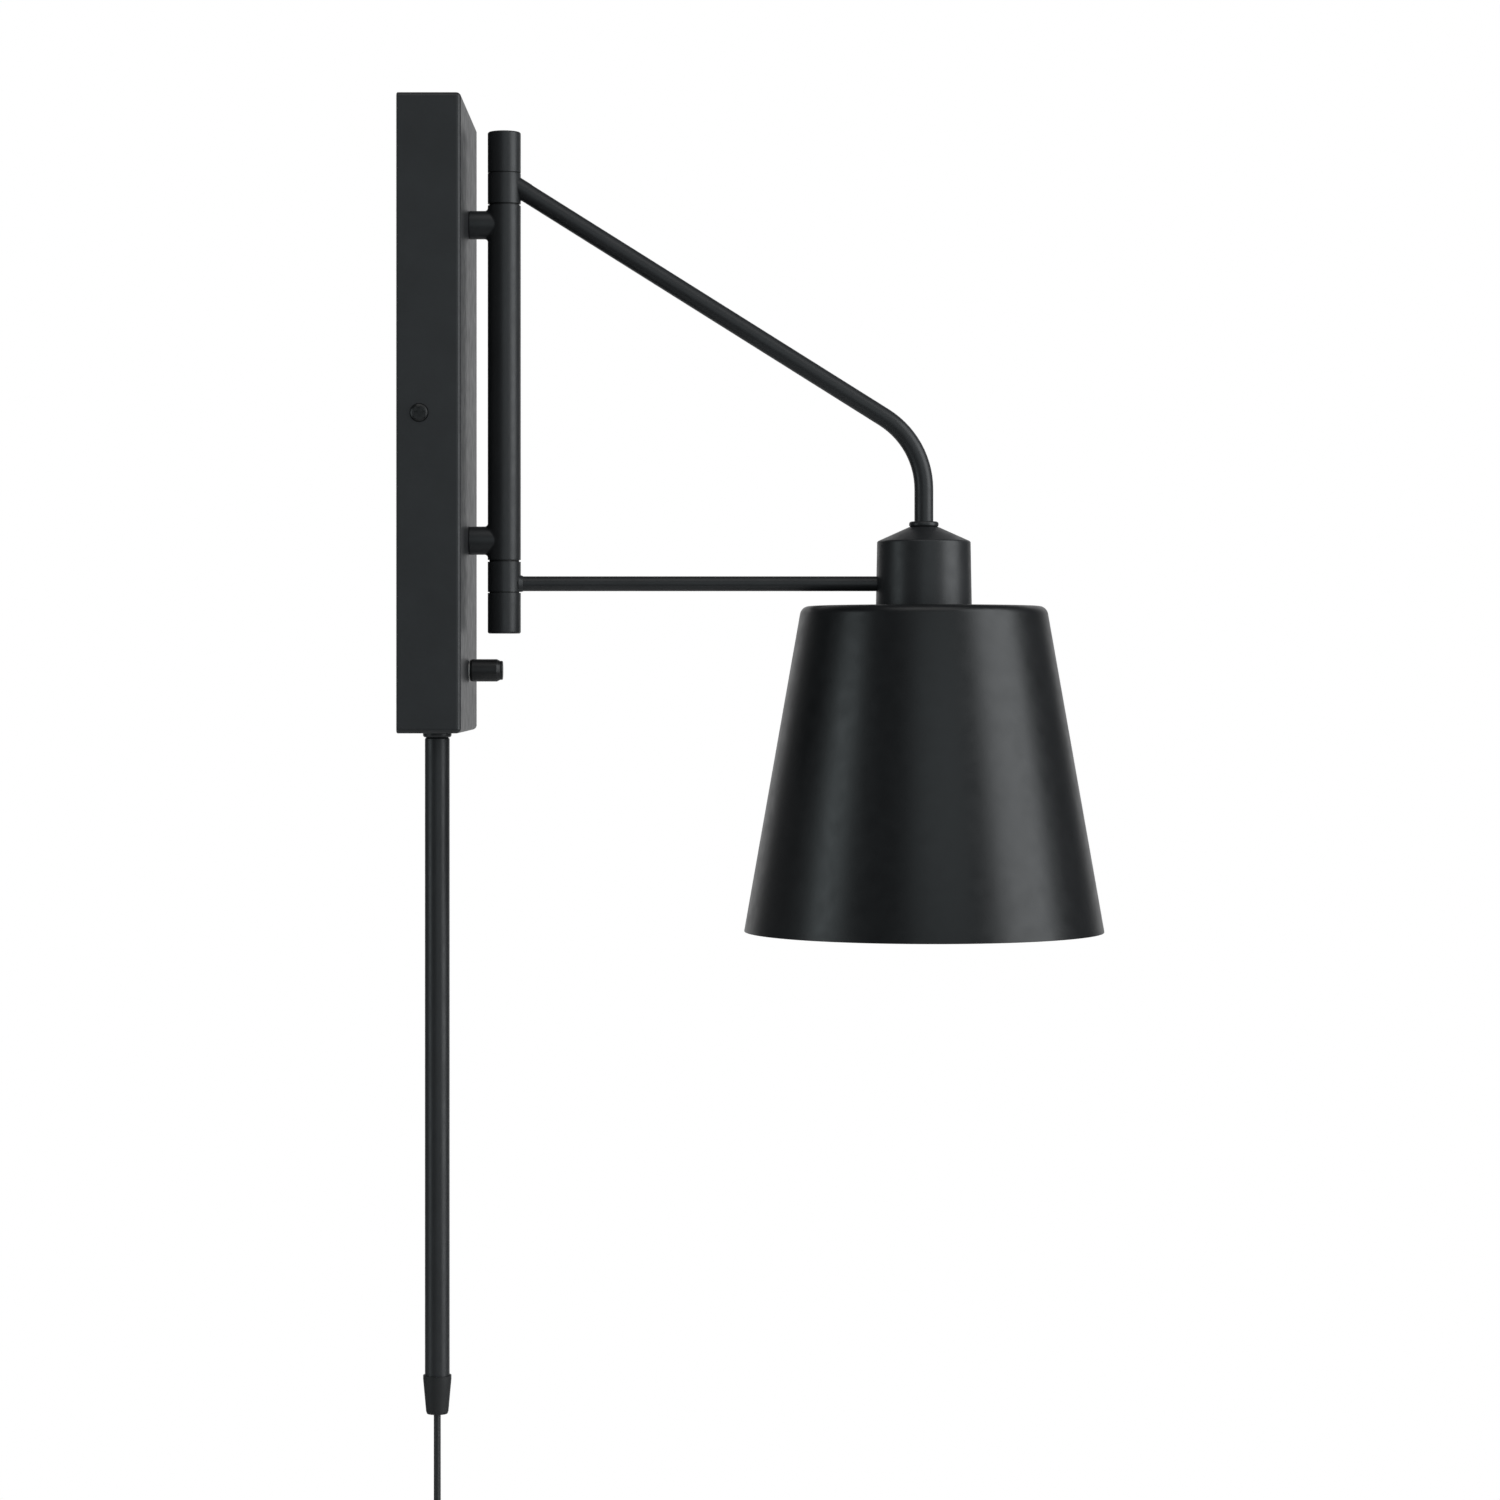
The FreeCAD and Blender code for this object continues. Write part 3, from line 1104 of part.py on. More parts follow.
def plug(out, aside):
    """Two-blade polarised plug hanging at the end of the cord."""
    top = f"( {COIL_MID} - coil_tail )"
    body = doc.addObject("PartDesign::Body", "plug_moulded")
    half, taper = "plug_wide / 2", "0 - plug_taper"
    grip = ((f"0 - {half} + plug_shoulder", "0"), (f"{half} - plug_shoulder", "0"), (half, taper),
            (half, "0 - plug_long"), (f"0 - {half}", "0 - plug_long"), (f"0 - {half}", taper))
    face = outline(body, "plug_face", "YZ_Plane", grip)
    pad = body.newObject("PartDesign::Pad", "plug_pad")
    pad.Profile = face
    pad.SideType = "Symmetric"
    pad.setExpression("Length", bound("plug_thick"))
    placed(body, (out, aside, top))
    rounded(body, "plug_round", lambda edge: edge.BoundBox.XLength < 1e-6)
    node("plug_body", body)
    for number, sign in ((1, "-"), (2, "+")):
        at = (out, f"{aside} {sign} blade_spacing / 2", f"{top} - plug_long - blade_long / 2")
        blade = block(f"blade_{number}", ("blade_wide", "blade_thick", "blade_long"), at)
        node(f"plug_blade_{number}", blade)


# ---------------------------------------------------------------- build, check and write

for make in (canopy_shell, wall_bracket, canopy_side_screws, post_tube, standoff_fixings,
             upper_spigot, lower_spigot, pivot_rings_and_caps, upper_sleeve, lower_sleeve,
             arm_tube, strut_rod, stem_parts, socket_cup, socket_strap, socket_body,
             socket_contacts, shade_and_ring, switch_parts, cord_cover, wiring, cord_and_plug):
    make()
doc.recompute()

for piece in doc.Objects:
    if "Invalid" in piece.State or "Error" in piece.State:
        raise RuntimeError(f"{piece.Label} failed: {piece.State}")

os.makedirs("parts", exist_ok=True)
for piece in nodes:
    if piece.Shape.isNull() or not piece.Shape.isValid():
        raise RuntimeError(f"{piece.Label} has no valid shape")
    if len(piece.Shape.Solids) != 1:
        raise RuntimeError(f"{piece.Label} has {len(piece.Shape.Solids)} solids")
for piece in nodes:
    piece.Shape.exportStep(f"parts/{piece.Label}.step")
print(len(nodes), "sub-parts written")
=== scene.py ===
import math

import bpy
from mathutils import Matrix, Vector


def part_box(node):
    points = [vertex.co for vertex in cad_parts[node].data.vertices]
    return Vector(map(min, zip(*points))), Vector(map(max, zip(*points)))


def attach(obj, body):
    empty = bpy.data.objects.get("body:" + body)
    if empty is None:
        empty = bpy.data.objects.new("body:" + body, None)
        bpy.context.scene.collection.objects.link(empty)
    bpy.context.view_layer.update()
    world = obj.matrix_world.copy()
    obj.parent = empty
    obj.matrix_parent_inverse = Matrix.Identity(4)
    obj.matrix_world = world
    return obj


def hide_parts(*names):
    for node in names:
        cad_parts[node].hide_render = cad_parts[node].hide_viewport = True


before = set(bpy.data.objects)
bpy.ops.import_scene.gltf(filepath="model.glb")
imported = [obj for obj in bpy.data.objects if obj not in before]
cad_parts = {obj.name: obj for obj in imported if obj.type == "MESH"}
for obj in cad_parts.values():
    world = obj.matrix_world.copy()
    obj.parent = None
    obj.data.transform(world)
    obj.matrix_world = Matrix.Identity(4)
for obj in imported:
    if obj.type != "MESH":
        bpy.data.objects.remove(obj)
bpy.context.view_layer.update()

MM = 0.001

# ---------------------------------------------------------------- camera and studio
# A long lens looks straight along the wall at the lamp's side, a little to the front of the post.
# The lamp hangs in a plain white studio, lit mostly by a broad soft box on the shade's side.

SENSOR = 0.036
LENS_DISTANCE = 1.619
VIEW_ACROSS = 0.6357           # width seen in the plane of the arm
LAMP_MIDDLE = Vector((0.12, 0, -0.05))
COOL = (0.89, 1, 1.03)

bpy.context.scene.view_settings.view_transform = "Standard"
bpy.ops.object.select_all(action="DESELECT")
bpy.ops.object.camera_add(location=(0.129, -LENS_DISTANCE, -0.1063), rotation=(math.pi / 2, 0, 0))
camera = bpy.context.object
camera.name = "side_camera"
camera.data.sensor_width = SENSOR * 1000
camera.data.lens = SENSOR * 1000 * LENS_DISTANCE / VIEW_ACROSS
camera.data.shift_x = 0.026
camera.data.shift_y = -0.052
bpy.context.scene.camera = camera


def soft_box(name, place, size, watts, tint=(1, 1, 1)):
    """A rectangular soft light at PLACE that faces the lamp."""
    bpy.ops.object.light_add(type="AREA", location=place)
    light = bpy.context.object
    light.name = name
    light.data.shape = "RECTANGLE"
    light.data.size, light.data.size_y = size
    light.data.energy = watts
    light.data.color = tint
    light.visible_camera = False
    light.rotation_euler = (LAMP_MIDDLE - Vector(place)).to_track_quat("-Z", "Y").to_euler()
    return light


soft_box("shade_side_box", (1.8, -0.68, 0.35), (1.4, 2.4), 30.0, (0.96, 1, 1.02))
soft_box("wall_side_box", (-1.75, -0.74, 0.0), (0.7, 1.6), 6.6, COOL)
soft_box("overhead_box", (0.2, -0.9, 1.7), (1.6, 1.4), 6.5)
soft_box("front_fill", (0.55, -2.4, 0.3), (1.7, 1.8), 6.5, COOL)
soft_box("backdrop_glow", (0.15, 2.0, -0.1), (3.2, 3.0), 17.0)

world = bpy.data.worlds.new("white_studio")
bpy.context.scene.world = world
world.use_nodes = True
sky = world.node_tree
sky.nodes.clear()
room = sky.nodes.new("ShaderNodeBackground")
room.inputs["Color"].default_value = (0.93, 0.96, 1.0, 1)
room.inputs["Strength"].default_value = 0.1
paper = sky.nodes.new("ShaderNodeBackground")
paper.inputs["Color"].default_value = (1, 1, 1, 1)
seen = sky.nodes.new("ShaderNodeLightPath")
either = sky.nodes.new("ShaderNodeMixShader")
sky.links.new(seen.outputs["Is Camera Ray"], either.inputs["Fac"])
sky.links.new(room.outputs[0], either.inputs[1])
sky.links.new(paper.outputs[0], either.inputs[2])
out = sky.nodes.new("ShaderNodeOutputWorld")
sky.links.new(either.outputs[0], out.inputs["Surface"])


def surface(name, colour, roughness, metallic=0.0):
    """A new material with one principled shader, which is returned with its nodes."""
    material = bpy.data.materials.new(name)
    material.use_nodes = True
    shader = material.node_tree.nodes["Principled BSDF"]
    shader.inputs["Base Color"].default_value = (*colour, 1)
    shader.inputs["Roughness"].default_value = roughness
    shader.inputs["Metallic"].default_value = metallic
    return material, shader


def noise(material, scale, detail=3.0, stretch=(1, 1, 1)):
    """Object-space noise, SCALE to the metre, drawn out by STRETCH."""
    tree = material.node_tree
    place = tree.nodes.new("ShaderNodeTexCoord")
    spread = tree.nodes.new("ShaderNodeMapping")
    spread.inputs["Scale"].default_value = stretch
    tree.links.new(place.outputs["Object"], spread.inputs["Vector"])
    grain = tree.nodes.new("ShaderNodeTexNoise")
    grain.inputs["Scale"].default_value = scale
    grain.inputs["Detail"].default_value = detail
    tree.links.new(spread.outputs["Vector"], grain.inputs["Vector"])
    return grain.outputs["Fac"]


def varied(material, shader, socket, pattern, low, high):
    """Lets PATTERN carry a number or colour socket between LOW and HIGH."""
    tree = material.node_tree
    ramp = tree.nodes.new("ShaderNodeValToRGB")
    ramp.color_ramp.elements[0].position = 0.3
    ramp.color_ramp.elements[1].position = 0.7
    ends = [value if isinstance(value, tuple) else (value,) * 3 for value in (low, high)]
    for element, colour in zip(ramp.color_ramp.elements, ends):
        element.color = (*colour, 1)
    tree.links.new(pattern, ramp.inputs["Fac"])
    tree.links.new(ramp.outputs["Color"], shader.inputs[socket])


def bumped(material, shader, pattern, height, strength=1.0):
    """Raises the surface by PATTERN, HEIGHT metres at most."""
    tree = material.node_tree
    bump = tree.nodes.new("ShaderNodeBump")
    bump.inputs["Strength"].default_value = strength
    bump.inputs["Distance"].default_value = height
    tree.links.new(pattern, bump.inputs["Height"])
    tree.links.new(bump.outputs["Normal"], shader.inputs["Normal"])


# The floor is see-through from underneath, so that the lamp can be looked at from below.
FLOOR_RADIUS = 0.9
FLOOR_UP = -0.66

floor_paint, floor_shader = surface("studio_floor", (0.86, 0.86, 0.86), 0.7)
varied(floor_paint, floor_shader, "Roughness", noise(floor_paint, 6.0), 0.65, 0.78)
floor_nodes, floor_links = floor_paint.node_tree.nodes, floor_paint.node_tree.links
underside = floor_nodes.new("ShaderNodeNewGeometry")
see_through = floor_nodes.new("ShaderNodeBsdfTransparent")
either_side = floor_nodes.new("ShaderNodeMixShader")
floor_links.new(underside.outputs["Backfacing"], either_side.inputs["Fac"])
floor_links.new(floor_shader.outputs["BSDF"], either_side.inputs[1])
floor_links.new(see_through.outputs["BSDF"], either_side.inputs[2])
floor_links.new(either_side.outputs["Shader"], floor_nodes["Material Output"].inputs["Surface"])
bpy.ops.object.select_all(action="DESELECT")
bpy.ops.mesh.primitive_circle_add(
    vertices=96, radius=FLOOR_RADIUS, fill_type="NGON", location=(LAMP_MIDDLE.x, 0, FLOOR_UP))
floor = bpy.context.object
floor.name = "floor"
floor.data.materials.append(floor_paint)

# ---------------------------------------------------------------- power cord and its coil
# Flat two-conductor lamp cord in black vinyl. It hangs out of the cover tube, and the length
# that isn't needed is wound into a neat flat-sided coil, two turns wide and four deep.

CORD_WIDE = 5.6 * MM
CORD_THICK = 2.8 * MM
CORD_OUT = 13.0 * MM
CORD_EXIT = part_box("tube_end_ferrule")[0].z
COIL_MID = CORD_EXIT - 140.0 * MM
COIL_PITCH = 2.95 * MM
COIL_OUTER = 35.475 * MM
COIL_LAYERS = 3                 # steps from the outer turn to the inner one
MEETS_AT = math.radians(50)
NEXT_COLUMN = CORD_WIDE + 0.2 * MM
TAIL = 36.0 * MM
POINTS_A_TURN = 24


def coil_points():
    """Control points of the coil: inwards in one column, across, and outwards in the other."""
    inward = COIL_LAYERS * COIL_PITCH
    across = 1.0
    layers_turns = (7 + MEETS_AT / math.tau - across) / 2
    swell = 1 / (1 - (1 - math.cos(math.tau / POINTS_A_TURN)) / 4)
    total = 2 * layers_turns + across
    count = round(total * POINTS_A_TURN)
    for step in range(count + 1):
        turn = total * step / count
        down = min(turn / layers_turns, 1) - max((turn - layers_turns - across) / layers_turns, 0)
        over = min(max((turn - layers_turns) / across, 0), 1)
        radius = (COIL_OUTER - inward * down) * swell
        angle = MEETS_AT - math.tau * turn
        yield (CORD_OUT + NEXT_COLUMN * over, radius * math.cos(angle),
               COIL_MID + radius * math.sin(angle))


meet = (COIL_OUTER * math.cos(MEETS_AT), COIL_MID + COIL_OUTER * math.sin(MEETS_AT))
corner_up = meet[1] + meet[0] / math.tan(MEETS_AT)
hanging = [
    (CORD_OUT, 0, CORD_EXIT),
    (CORD_OUT, 0, CORD_EXIT - 38 * MM),
    (CORD_OUT, 0, CORD_EXIT - 66 * MM),
    (CORD_OUT, 0, corner_up),
]
turns = list(coil_points())
TAIL_OUT, TAIL_ASIDE = CORD_OUT + NEXT_COLUMN, COIL_OUTER
tail = [(TAIL_OUT, TAIL_ASIDE, COIL_MID - 12 * MM), (TAIL_OUT, TAIL_ASIDE, COIL_MID - TAIL)]
route = hanging + turns + tail


def smooth_line(name, points, resolution=4):
    """The points that a NURBS spline with these control points runs through."""
    curve = bpy.data.curves.new(name, "CURVE")
    curve.dimensions = "3D"
    spline = curve.splines.new("NURBS")
    spline.points.add(len(points) - 1)
    for point, place in zip(spline.points, points):
        point.co = (*place, 1)
    spline.order_u = 3
    spline.use_endpoint_u = True
    spline.resolution_u = resolution
    holder = bpy.data.objects.new(name, curve)
    bpy.context.collection.objects.link(holder)
    bpy.context.view_layer.update()
    mesh = bpy.data.meshes.new_from_object(holder)
    line = [vertex.co.copy() for vertex in mesh.vertices]
    bpy.data.objects.remove(holder)
    bpy.data.meshes.remove(mesh)
    return line


def cord_section(sides=10):
    """Outline of the flat cord: two round conductors side by side with a shallow groove between."""
    round_radius = CORD_THICK / 2
    apart = (CORD_WIDE - CORD_THICK) / 2
    for side in (1, -1):
        for step in range(sides + 1):
            angle = math.radians(-128 + 256 * step / sides)
            wide = side * (apart + round_radius * math.cos(angle))
            yield wide, side * round_radius * math.sin(angle)


def flat_cord(name, line, wide_way):
    """A closed flat tube along LINE; WIDE_WAY gives the direction of its width at each place."""
    section = list(cord_section())
    corners, faces, lengths = [], [], []
    run = 0.0
    for index, place in enumerate(line):
        before, after = line[max(index - 1, 0)], line[min(index + 1, len(line) - 1)]
        ahead = (after - before).normalized()
        run += (place - line[index - 1]).length if index else 0
        wide = wide_way(run)
        wide = (wide - ahead * wide.dot(ahead)).normalized()
        thick = ahead.cross(wide)
        corners += [place + wide * a + thick * b for a, b in section]
        lengths.append(run)
    ring = len(section)
    for index in range(len(line) - 1):
        for side in range(ring):
            following = (side + 1) % ring
            low, high = index * ring, (index + 1) * ring
            faces.append((low + side, low + following, high + following, high + side))
    faces.append(tuple(reversed(range(ring))))
    faces.append(tuple(range((len(line) - 1) * ring, len(line) * ring)))
    mesh = bpy.data.meshes.new(name)
    mesh.from_pydata(corners, [], faces)
    around = mesh.uv_layers.new(name="UVMap")
    for face in mesh.polygons:
        for loop in face.loop_indices:
            vertex = mesh.loops[loop].vertex_index
            around.data[loop].uv = (lengths[vertex // ring], vertex % ring / ring)
    piece = bpy.data.objects.new(name, mesh)
    bpy.context.collection.objects.link(piece)
    return piece


def only(piece):
    """Makes PIECE the only selected and active object."""
    bpy.ops.object.select_all(action="DESELECT")
    piece.select_set(True)
    bpy.context.view_layer.objects.active = piece


def outward(piece):
    """Merges doubled points and turns every face of PIECE outwards."""
    only(piece)
    bpy.ops.object.mode_set(mode="EDIT")
    bpy.ops.mesh.select_all(action="SELECT")
    bpy.ops.mesh.remove_doubles(threshold=1e-6)
    bpy.ops.mesh.normals_make_consistent(inside=False)
    bpy.ops.object.mode_set(mode="OBJECT")


def smooth(piece, degrees=35):
    """Shades PIECE smooth where its faces meet at less than this angle."""
    only(piece)
    bpy.ops.object.shade_smooth_by_angle(angle=math.radians(degrees))


def cord_width_way(run):
    """Across the wall at the tube, turned by a quarter before the coil, where it lies flat."""
    turned = min(max((run - 42 * MM) / (60 * MM), 0), 1)
    eased = math.pi / 2 * turned * turned * (3 - 2 * turned)
    return Vector((math.sin(eased), math.cos(eased), 0))


cord_jacket, jacket = surface("black_vinyl_cord", (0.017, 0.018, 0.019), 0.42)
varied(cord_jacket, jacket, "Roughness", noise(cord_jacket, 300), 0.36, 0.5)
bumped(cord_jacket, jacket, noise(cord_jacket, 2500, 2.0), 0.00004)

line = smooth_line("cord_route", route)
cord = flat_cord("lamp_cord", line, cord_width_way)
outward(cord)
smooth(cord, 50)
cord.data.materials.append(cord_jacket)
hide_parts("power_cord", "cord_coil", "cord_tail")
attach(cord, "wall_unit")

# ---------------------------------------------------------------- cord tie
# Black nylon strap, a plain closed band with rounded corners, round the coil's bundle.

TIE_WIDE = 8.0 * MM
TIE_THICK = 1.1 * MM

tie_low, tie_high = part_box("cord_tie")
tie_middle = (tie_low + tie_high) / 2
bpy.ops.object.select_all(action="DESELECT")
bpy.ops.mesh.primitive_cube_add(size=1, location=tie_middle)
tie = bpy.context.object
tie.name = "tie_strap"
tie.scale = (
    tie_high.x - tie_low.x - 2 * TIE_THICK, tie_high.y - tie_low.y - 2 * TIE_THICK, TIE_WIDE)
bpy.ops.object.transform_apply(location=True, rotation=True, scale=True)
bpy.ops.object.mode_set(mode="EDIT")
bpy.ops.mesh.select_mode(type="FACE")
bpy.ops.mesh.select_all(action="DESELECT")
bpy.ops.object.mode_set(mode="OBJECT")
for face in tie.data.polygons:
    face.select = abs(face.normal.z) > 0.9
bpy.ops.object.mode_set(mode="EDIT")
bpy.ops.mesh.delete(type="FACE")
bpy.ops.mesh.select_mode(type="EDGE")
bpy.ops.mesh.select_all(action="DESELECT")
bpy.ops.object.mode_set(mode="OBJECT")
for edge in tie.data.edges:
    ends = [tie.data.vertices[index].co for index in edge.vertices]
    edge.select = abs(ends[0].z - ends[1].z) > TIE_WIDE / 2
bpy.ops.object.mode_set(mode="EDIT")
bpy.ops.mesh.bevel(offset=2.2 * MM, segments=6)
bpy.ops.object.mode_set(mode="OBJECT")
for kind, facts in (("SOLIDIFY", {"thickness": TIE_THICK, "offset": 1}),
                    ("BEVEL", {"width": 0.25 * MM, "segments": 2, "limit_method": "ANGLE"})):
    modifier = tie.modifiers.new(kind.lower(), kind)
    for fact, amount in facts.items():
        setattr(modifier, fact, amount)
    only(tie)
    bpy.ops.object.modifier_apply(modifier=modifier.name)
outward(tie)
smooth(tie)
nylon, nylon_shader = surface("nylon_strap", (0.028, 0.028, 0.03), 0.62)
varied(nylon, nylon_shader, "Base Color", noise(nylon, 1800, 2, (1, 1, 0.15)),
       (0.02,) * 3, (0.045,) * 3)
bumped(nylon, nylon_shader, noise(nylon, 2600, 1, (1, 1, 0.2)), 0.0001)
tie.data.materials.append(nylon)
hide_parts("cord_tie")
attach(tie, "wall_unit")

# ---------------------------------------------------------------- plug
# Moulded two-blade plug hanging at the cord's end: a waisted vinyl body with grip ribs, a ribbed
# strain relief, and two pressed brass blades with a hole near each tip.


def bevelled(piece, width, segments=3):
    """Rounds every sharp edge of PIECE."""
    modifier = piece.modifiers.new("rounding", "BEVEL")
    modifier.width = width
    modifier.segments = segments
    modifier.limit_method = "ANGLE"
    only(piece)
    bpy.ops.object.modifier_apply(modifier=modifier.name)


def block(name, low, high):
    """A box between two corners."""
    bpy.ops.object.select_all(action="DESELECT")
    bpy.ops.mesh.primitive_cube_add(size=1, location=(Vector(low) + Vector(high)) / 2)
    piece = bpy.context.object
    piece.name = name
    piece.scale = Vector(high) - Vector(low)
    bpy.ops.object.transform_apply(location=True, rotation=True, scale=True)
    return piece


def joined(name, pieces):
    """Several meshes as one piece."""
    bpy.ops.object.select_all(action="DESELECT")
    for piece in pieces:
        piece.select_set(True)
    bpy.context.view_layer.objects.active = pieces[0]
    bpy.ops.object.join()
    pieces[0].name = name
    return pieces[0]


plug_low, plug_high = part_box("plug_body")
plug_mid = (plug_low + plug_high) / 2
shoulder = plug_high.z - 9 * MM
grip = block("plug_grip", plug_low, (plug_high.x, plug_high.y, shoulder))
for vertex in grip.data.vertices:
    if vertex.co.z > plug_mid.z:
        vertex.co.y = plug_mid.y + (vertex.co.y - plug_mid.y) * 0.62
        vertex.co.x = plug_mid.x + (vertex.co.x - plug_mid.x) * 0.8
bevelled(grip, 1.8 * MM, 4)
parts = [grip]
for step in range(4):
    up = plug_low.z + (4 + 2.6 * step) * MM
    for side in (-1, 1):
        wide = (8.6 - 0.8 * step) * MM
        face = plug_mid.x + side * (plug_high.x - plug_mid.x)
        rib = block("grip_rib", (face - 1.0 * MM - side * 0.6 * MM, plug_mid.y - wide, up),
                    (face + 1.0 * MM - side * 0.9 * MM, plug_mid.y + wide, up + 1.2 * MM))
        bevelled(rib, 0.4 * MM, 2)
        parts.append(rib)
for step in range(5):
    size = (4.6 - 0.35 * step) * MM
    up = shoulder - 1.0 * MM + 2.0 * step * MM
    ring = block("relief_ring", (plug_mid.x - size, plug_mid.y - size * 1.15, up),
                 (plug_mid.x + size, plug_mid.y + size * 1.15, up + 1.5 * MM))
    bevelled(ring, 0.55 * MM, 3)
    parts.append(ring)
    neck = block("relief_neck", (plug_mid.x - size * 0.72, plug_mid.y - size * 0.85, up + 1.0 * MM),
                 (plug_mid.x + size * 0.72, plug_mid.y + size * 0.85, up + 2.3 * MM))
    parts.append(neck)
plug = joined("moulded_plug", parts)
smooth(plug)
plug.data.materials.append(cord_jacket)
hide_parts("plug_body")
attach(plug, "wall_unit")
brass, brass_shader = surface("pressed_brass", (0.72, 0.53, 0.24), 0.3, 1.0)
varied(brass, brass_shader, "Roughness", noise(brass, 500, 4, (1, 1, 0.1)), 0.22, 0.42)
varied(brass, brass_shader, "Base Color", noise(brass, 120), (0.66, 0.47, 0.2), (0.76, 0.58, 0.28))
for number in (1, 2):
    low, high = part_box(f"plug_blade_{number}")
    blade = block(f"blade_{number}", low, (high.x, high.y, high.z + 2 * MM))
    for vertex in blade.data.vertices:
        if vertex.co.z < low.z + 1 * MM:
            vertex.co.x = plug_mid.x + (vertex.co.x - plug_mid.x) * 0.82
    bevelled(blade, 0.35 * MM, 3)
    bpy.ops.mesh.primitive_cylinder_add(
        vertices=32, radius=1.6 * MM, depth=6 * MM, rotation=(math.pi / 2, 0, 0),
        location=(plug_mid.x, (low.y + high.y) / 2, low.z + 4.4 * MM))
    drill = bpy.context.object
    hole = blade.modifiers.new("hole", "BOOLEAN")
    hole.object = drill
    only(blade)
    bpy.ops.object.modifier_apply(modifier=hole.name)
    bpy.data.objects.remove(drill)
    smooth(blade)
    blade.data.materials.append(brass)
    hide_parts(f"plug_blade_{number}")
    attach(blade, "wall_unit")

# ---------------------------------------------------------------- powder-coated steel
# Canopy, post, sleeves, caps, arm, strut, collar, cup and cord cover are all steel with one
# matte to satin black powder coat, with a faint orange-peel texture. The ferrule is duller.

coat, coat_shader = surface("black_powder_coat", (0.0175, 0.0185, 0.02), 0.4)
varied(coat, coat_shader, "Base Color", noise(coat, 45, 4),
       (0.0155, 0.0163, 0.0175), (0.0195, 0.0206, 0.0222))
varied(coat, coat_shader, "Roughness", noise(coat, 160, 4), 0.36, 0.46)
bumped(coat, coat_shader, noise(coat, 1300, 3), 0.00003, 0.6)


def finished(node, material):
    """Gives a CAD node its material."""
    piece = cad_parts[node]
    piece.data.materials.clear()
    piece.data.materials.append(material)


COATED = (
    "canopy_shell", "post_tube", "upper_post_cap", "lower_post_cap", "upper_sleeve", "lower_sleeve",
    "arm_tube", "strut_rod", "stem_collar", "socket_cup", "cord_cover_tube", "cord_cover_collar",
)
for node in COATED:
    finished(node, coat)

dull, dull_shader = surface("dull_black_coat", (0.009, 0.0094, 0.01), 0.58)
varied(dull, dull_shader, "Roughness", noise(dull, 200, 4), 0.52, 0.64)
bumped(dull, dull_shader, noise(dull, 2200, 3), 0.00003, 0.6)
finished("tube_end_ferrule", dull)

# ---------------------------------------------------------------- shade
# Spun steel cone with a rounded top edge, coated black outside and white inside. It is clamped
# between the cup's rim and the ring on the lamp socket.

SHADE_SHEET = 1.0 * MM
SHADE_EDGE = 4.0 * MM

shade_low, shade_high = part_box("shade")
head = (shade_low + shade_high) / 2
rim = (shade_high.x - shade_low.x) / 2
tall = shade_high.z - shade_low.z
top = rim * 103.8 / 152.4
lean = math.atan2(rim - top, tall)
hole = 18.3 * MM


def arc(centre, radius, start, end, count=8):
    """Points of a rounded corner in a half section, as radius and height."""
    for step in range(count + 1):
        angle = start + (end - start) * step / count
        yield centre[0] + radius * math.cos(angle), centre[1] + radius * math.sin(angle)


def ring_stack(name, middle, steps, sides=128):
    """Turns a closed hollow shape ring by ring; the last ring meets the first."""
    bpy.ops.object.select_all(action="DESELECT")
    (radius, up), axis = steps[0], Vector((middle.x, middle.y, 0))
    bpy.ops.mesh.primitive_circle_add(
        vertices=sides, radius=radius, location=axis + Vector((0, 0, up)))
    piece = bpy.context.object
    piece.name = name
    bpy.ops.object.mode_set(mode="EDIT")
    bpy.ops.mesh.select_all(action="SELECT")
    for wide, high in steps[1:] + steps[:1]:
        bpy.ops.mesh.extrude_edges_move(TRANSFORM_OT_translate={"value": (0, 0, high - up)})
        grow = wide / radius
        bpy.ops.transform.resize(value=(grow, grow, 1), center_override=axis + Vector((0, 0, high)))
        radius, up = wide, high
    bpy.ops.object.mode_set(mode="OBJECT")
    bpy.ops.object.transform_apply(location=True, rotation=True, scale=True)
    outward(piece)
    return piece


setback = SHADE_EDGE * math.tan((math.pi / 2 - lean) / 2)
outer_centre = (top - setback, shade_high.z - SHADE_EDGE)
inner_edge = SHADE_EDGE - SHADE_SHEET
lip = 0.45 * MM
rim_way = Vector((math.sin(lean), -math.cos(lean)))
rim_out = Vector((rim, shade_low.z))
rim_in = rim_out - Vector((math.cos(lean), math.sin(lean))) * SHADE_SHEET
shade_steps = [(hole, shade_high.z), (hole + 12 * MM, shade_high.z)]
shade_steps += arc(outer_centre, SHADE_EDGE, math.pi / 2, lean)
shade_steps += [tuple(rim_out - rim_way * lip),
                tuple(rim_out - rim_way * 0.1 * MM - Vector((0.12 * MM, 0)))]
shade_steps += [(rim_in.x + 0.2 * MM, shade_low.z), (rim_in.x - 0.03 * MM, shade_low.z + lip)]
shade_steps += arc(outer_centre, inner_edge, lean, math.pi / 2)
shade_steps += [(hole + 12 * MM, shade_high.z - SHADE_SHEET), (hole, shade_high.z - SHADE_SHEET)]
shade = ring_stack("cone_shade", head, shade_steps, 160)
enamel, enamel_shader = surface("white_inside_coat", (0.82, 0.81, 0.78), 0.45)
varied(enamel, enamel_shader, "Roughness", noise(enamel, 180, 3), 0.4, 0.52)
bumped(enamel, enamel_shader, noise(enamel, 1200, 3), 0.00003, 0.6)
satin, satin_shader = surface("shade_satin_coat", (0.006, 0.0066, 0.0074), 0.34)
varied(satin, satin_shader, "Roughness", noise(satin, 150, 4), 0.31, 0.38)
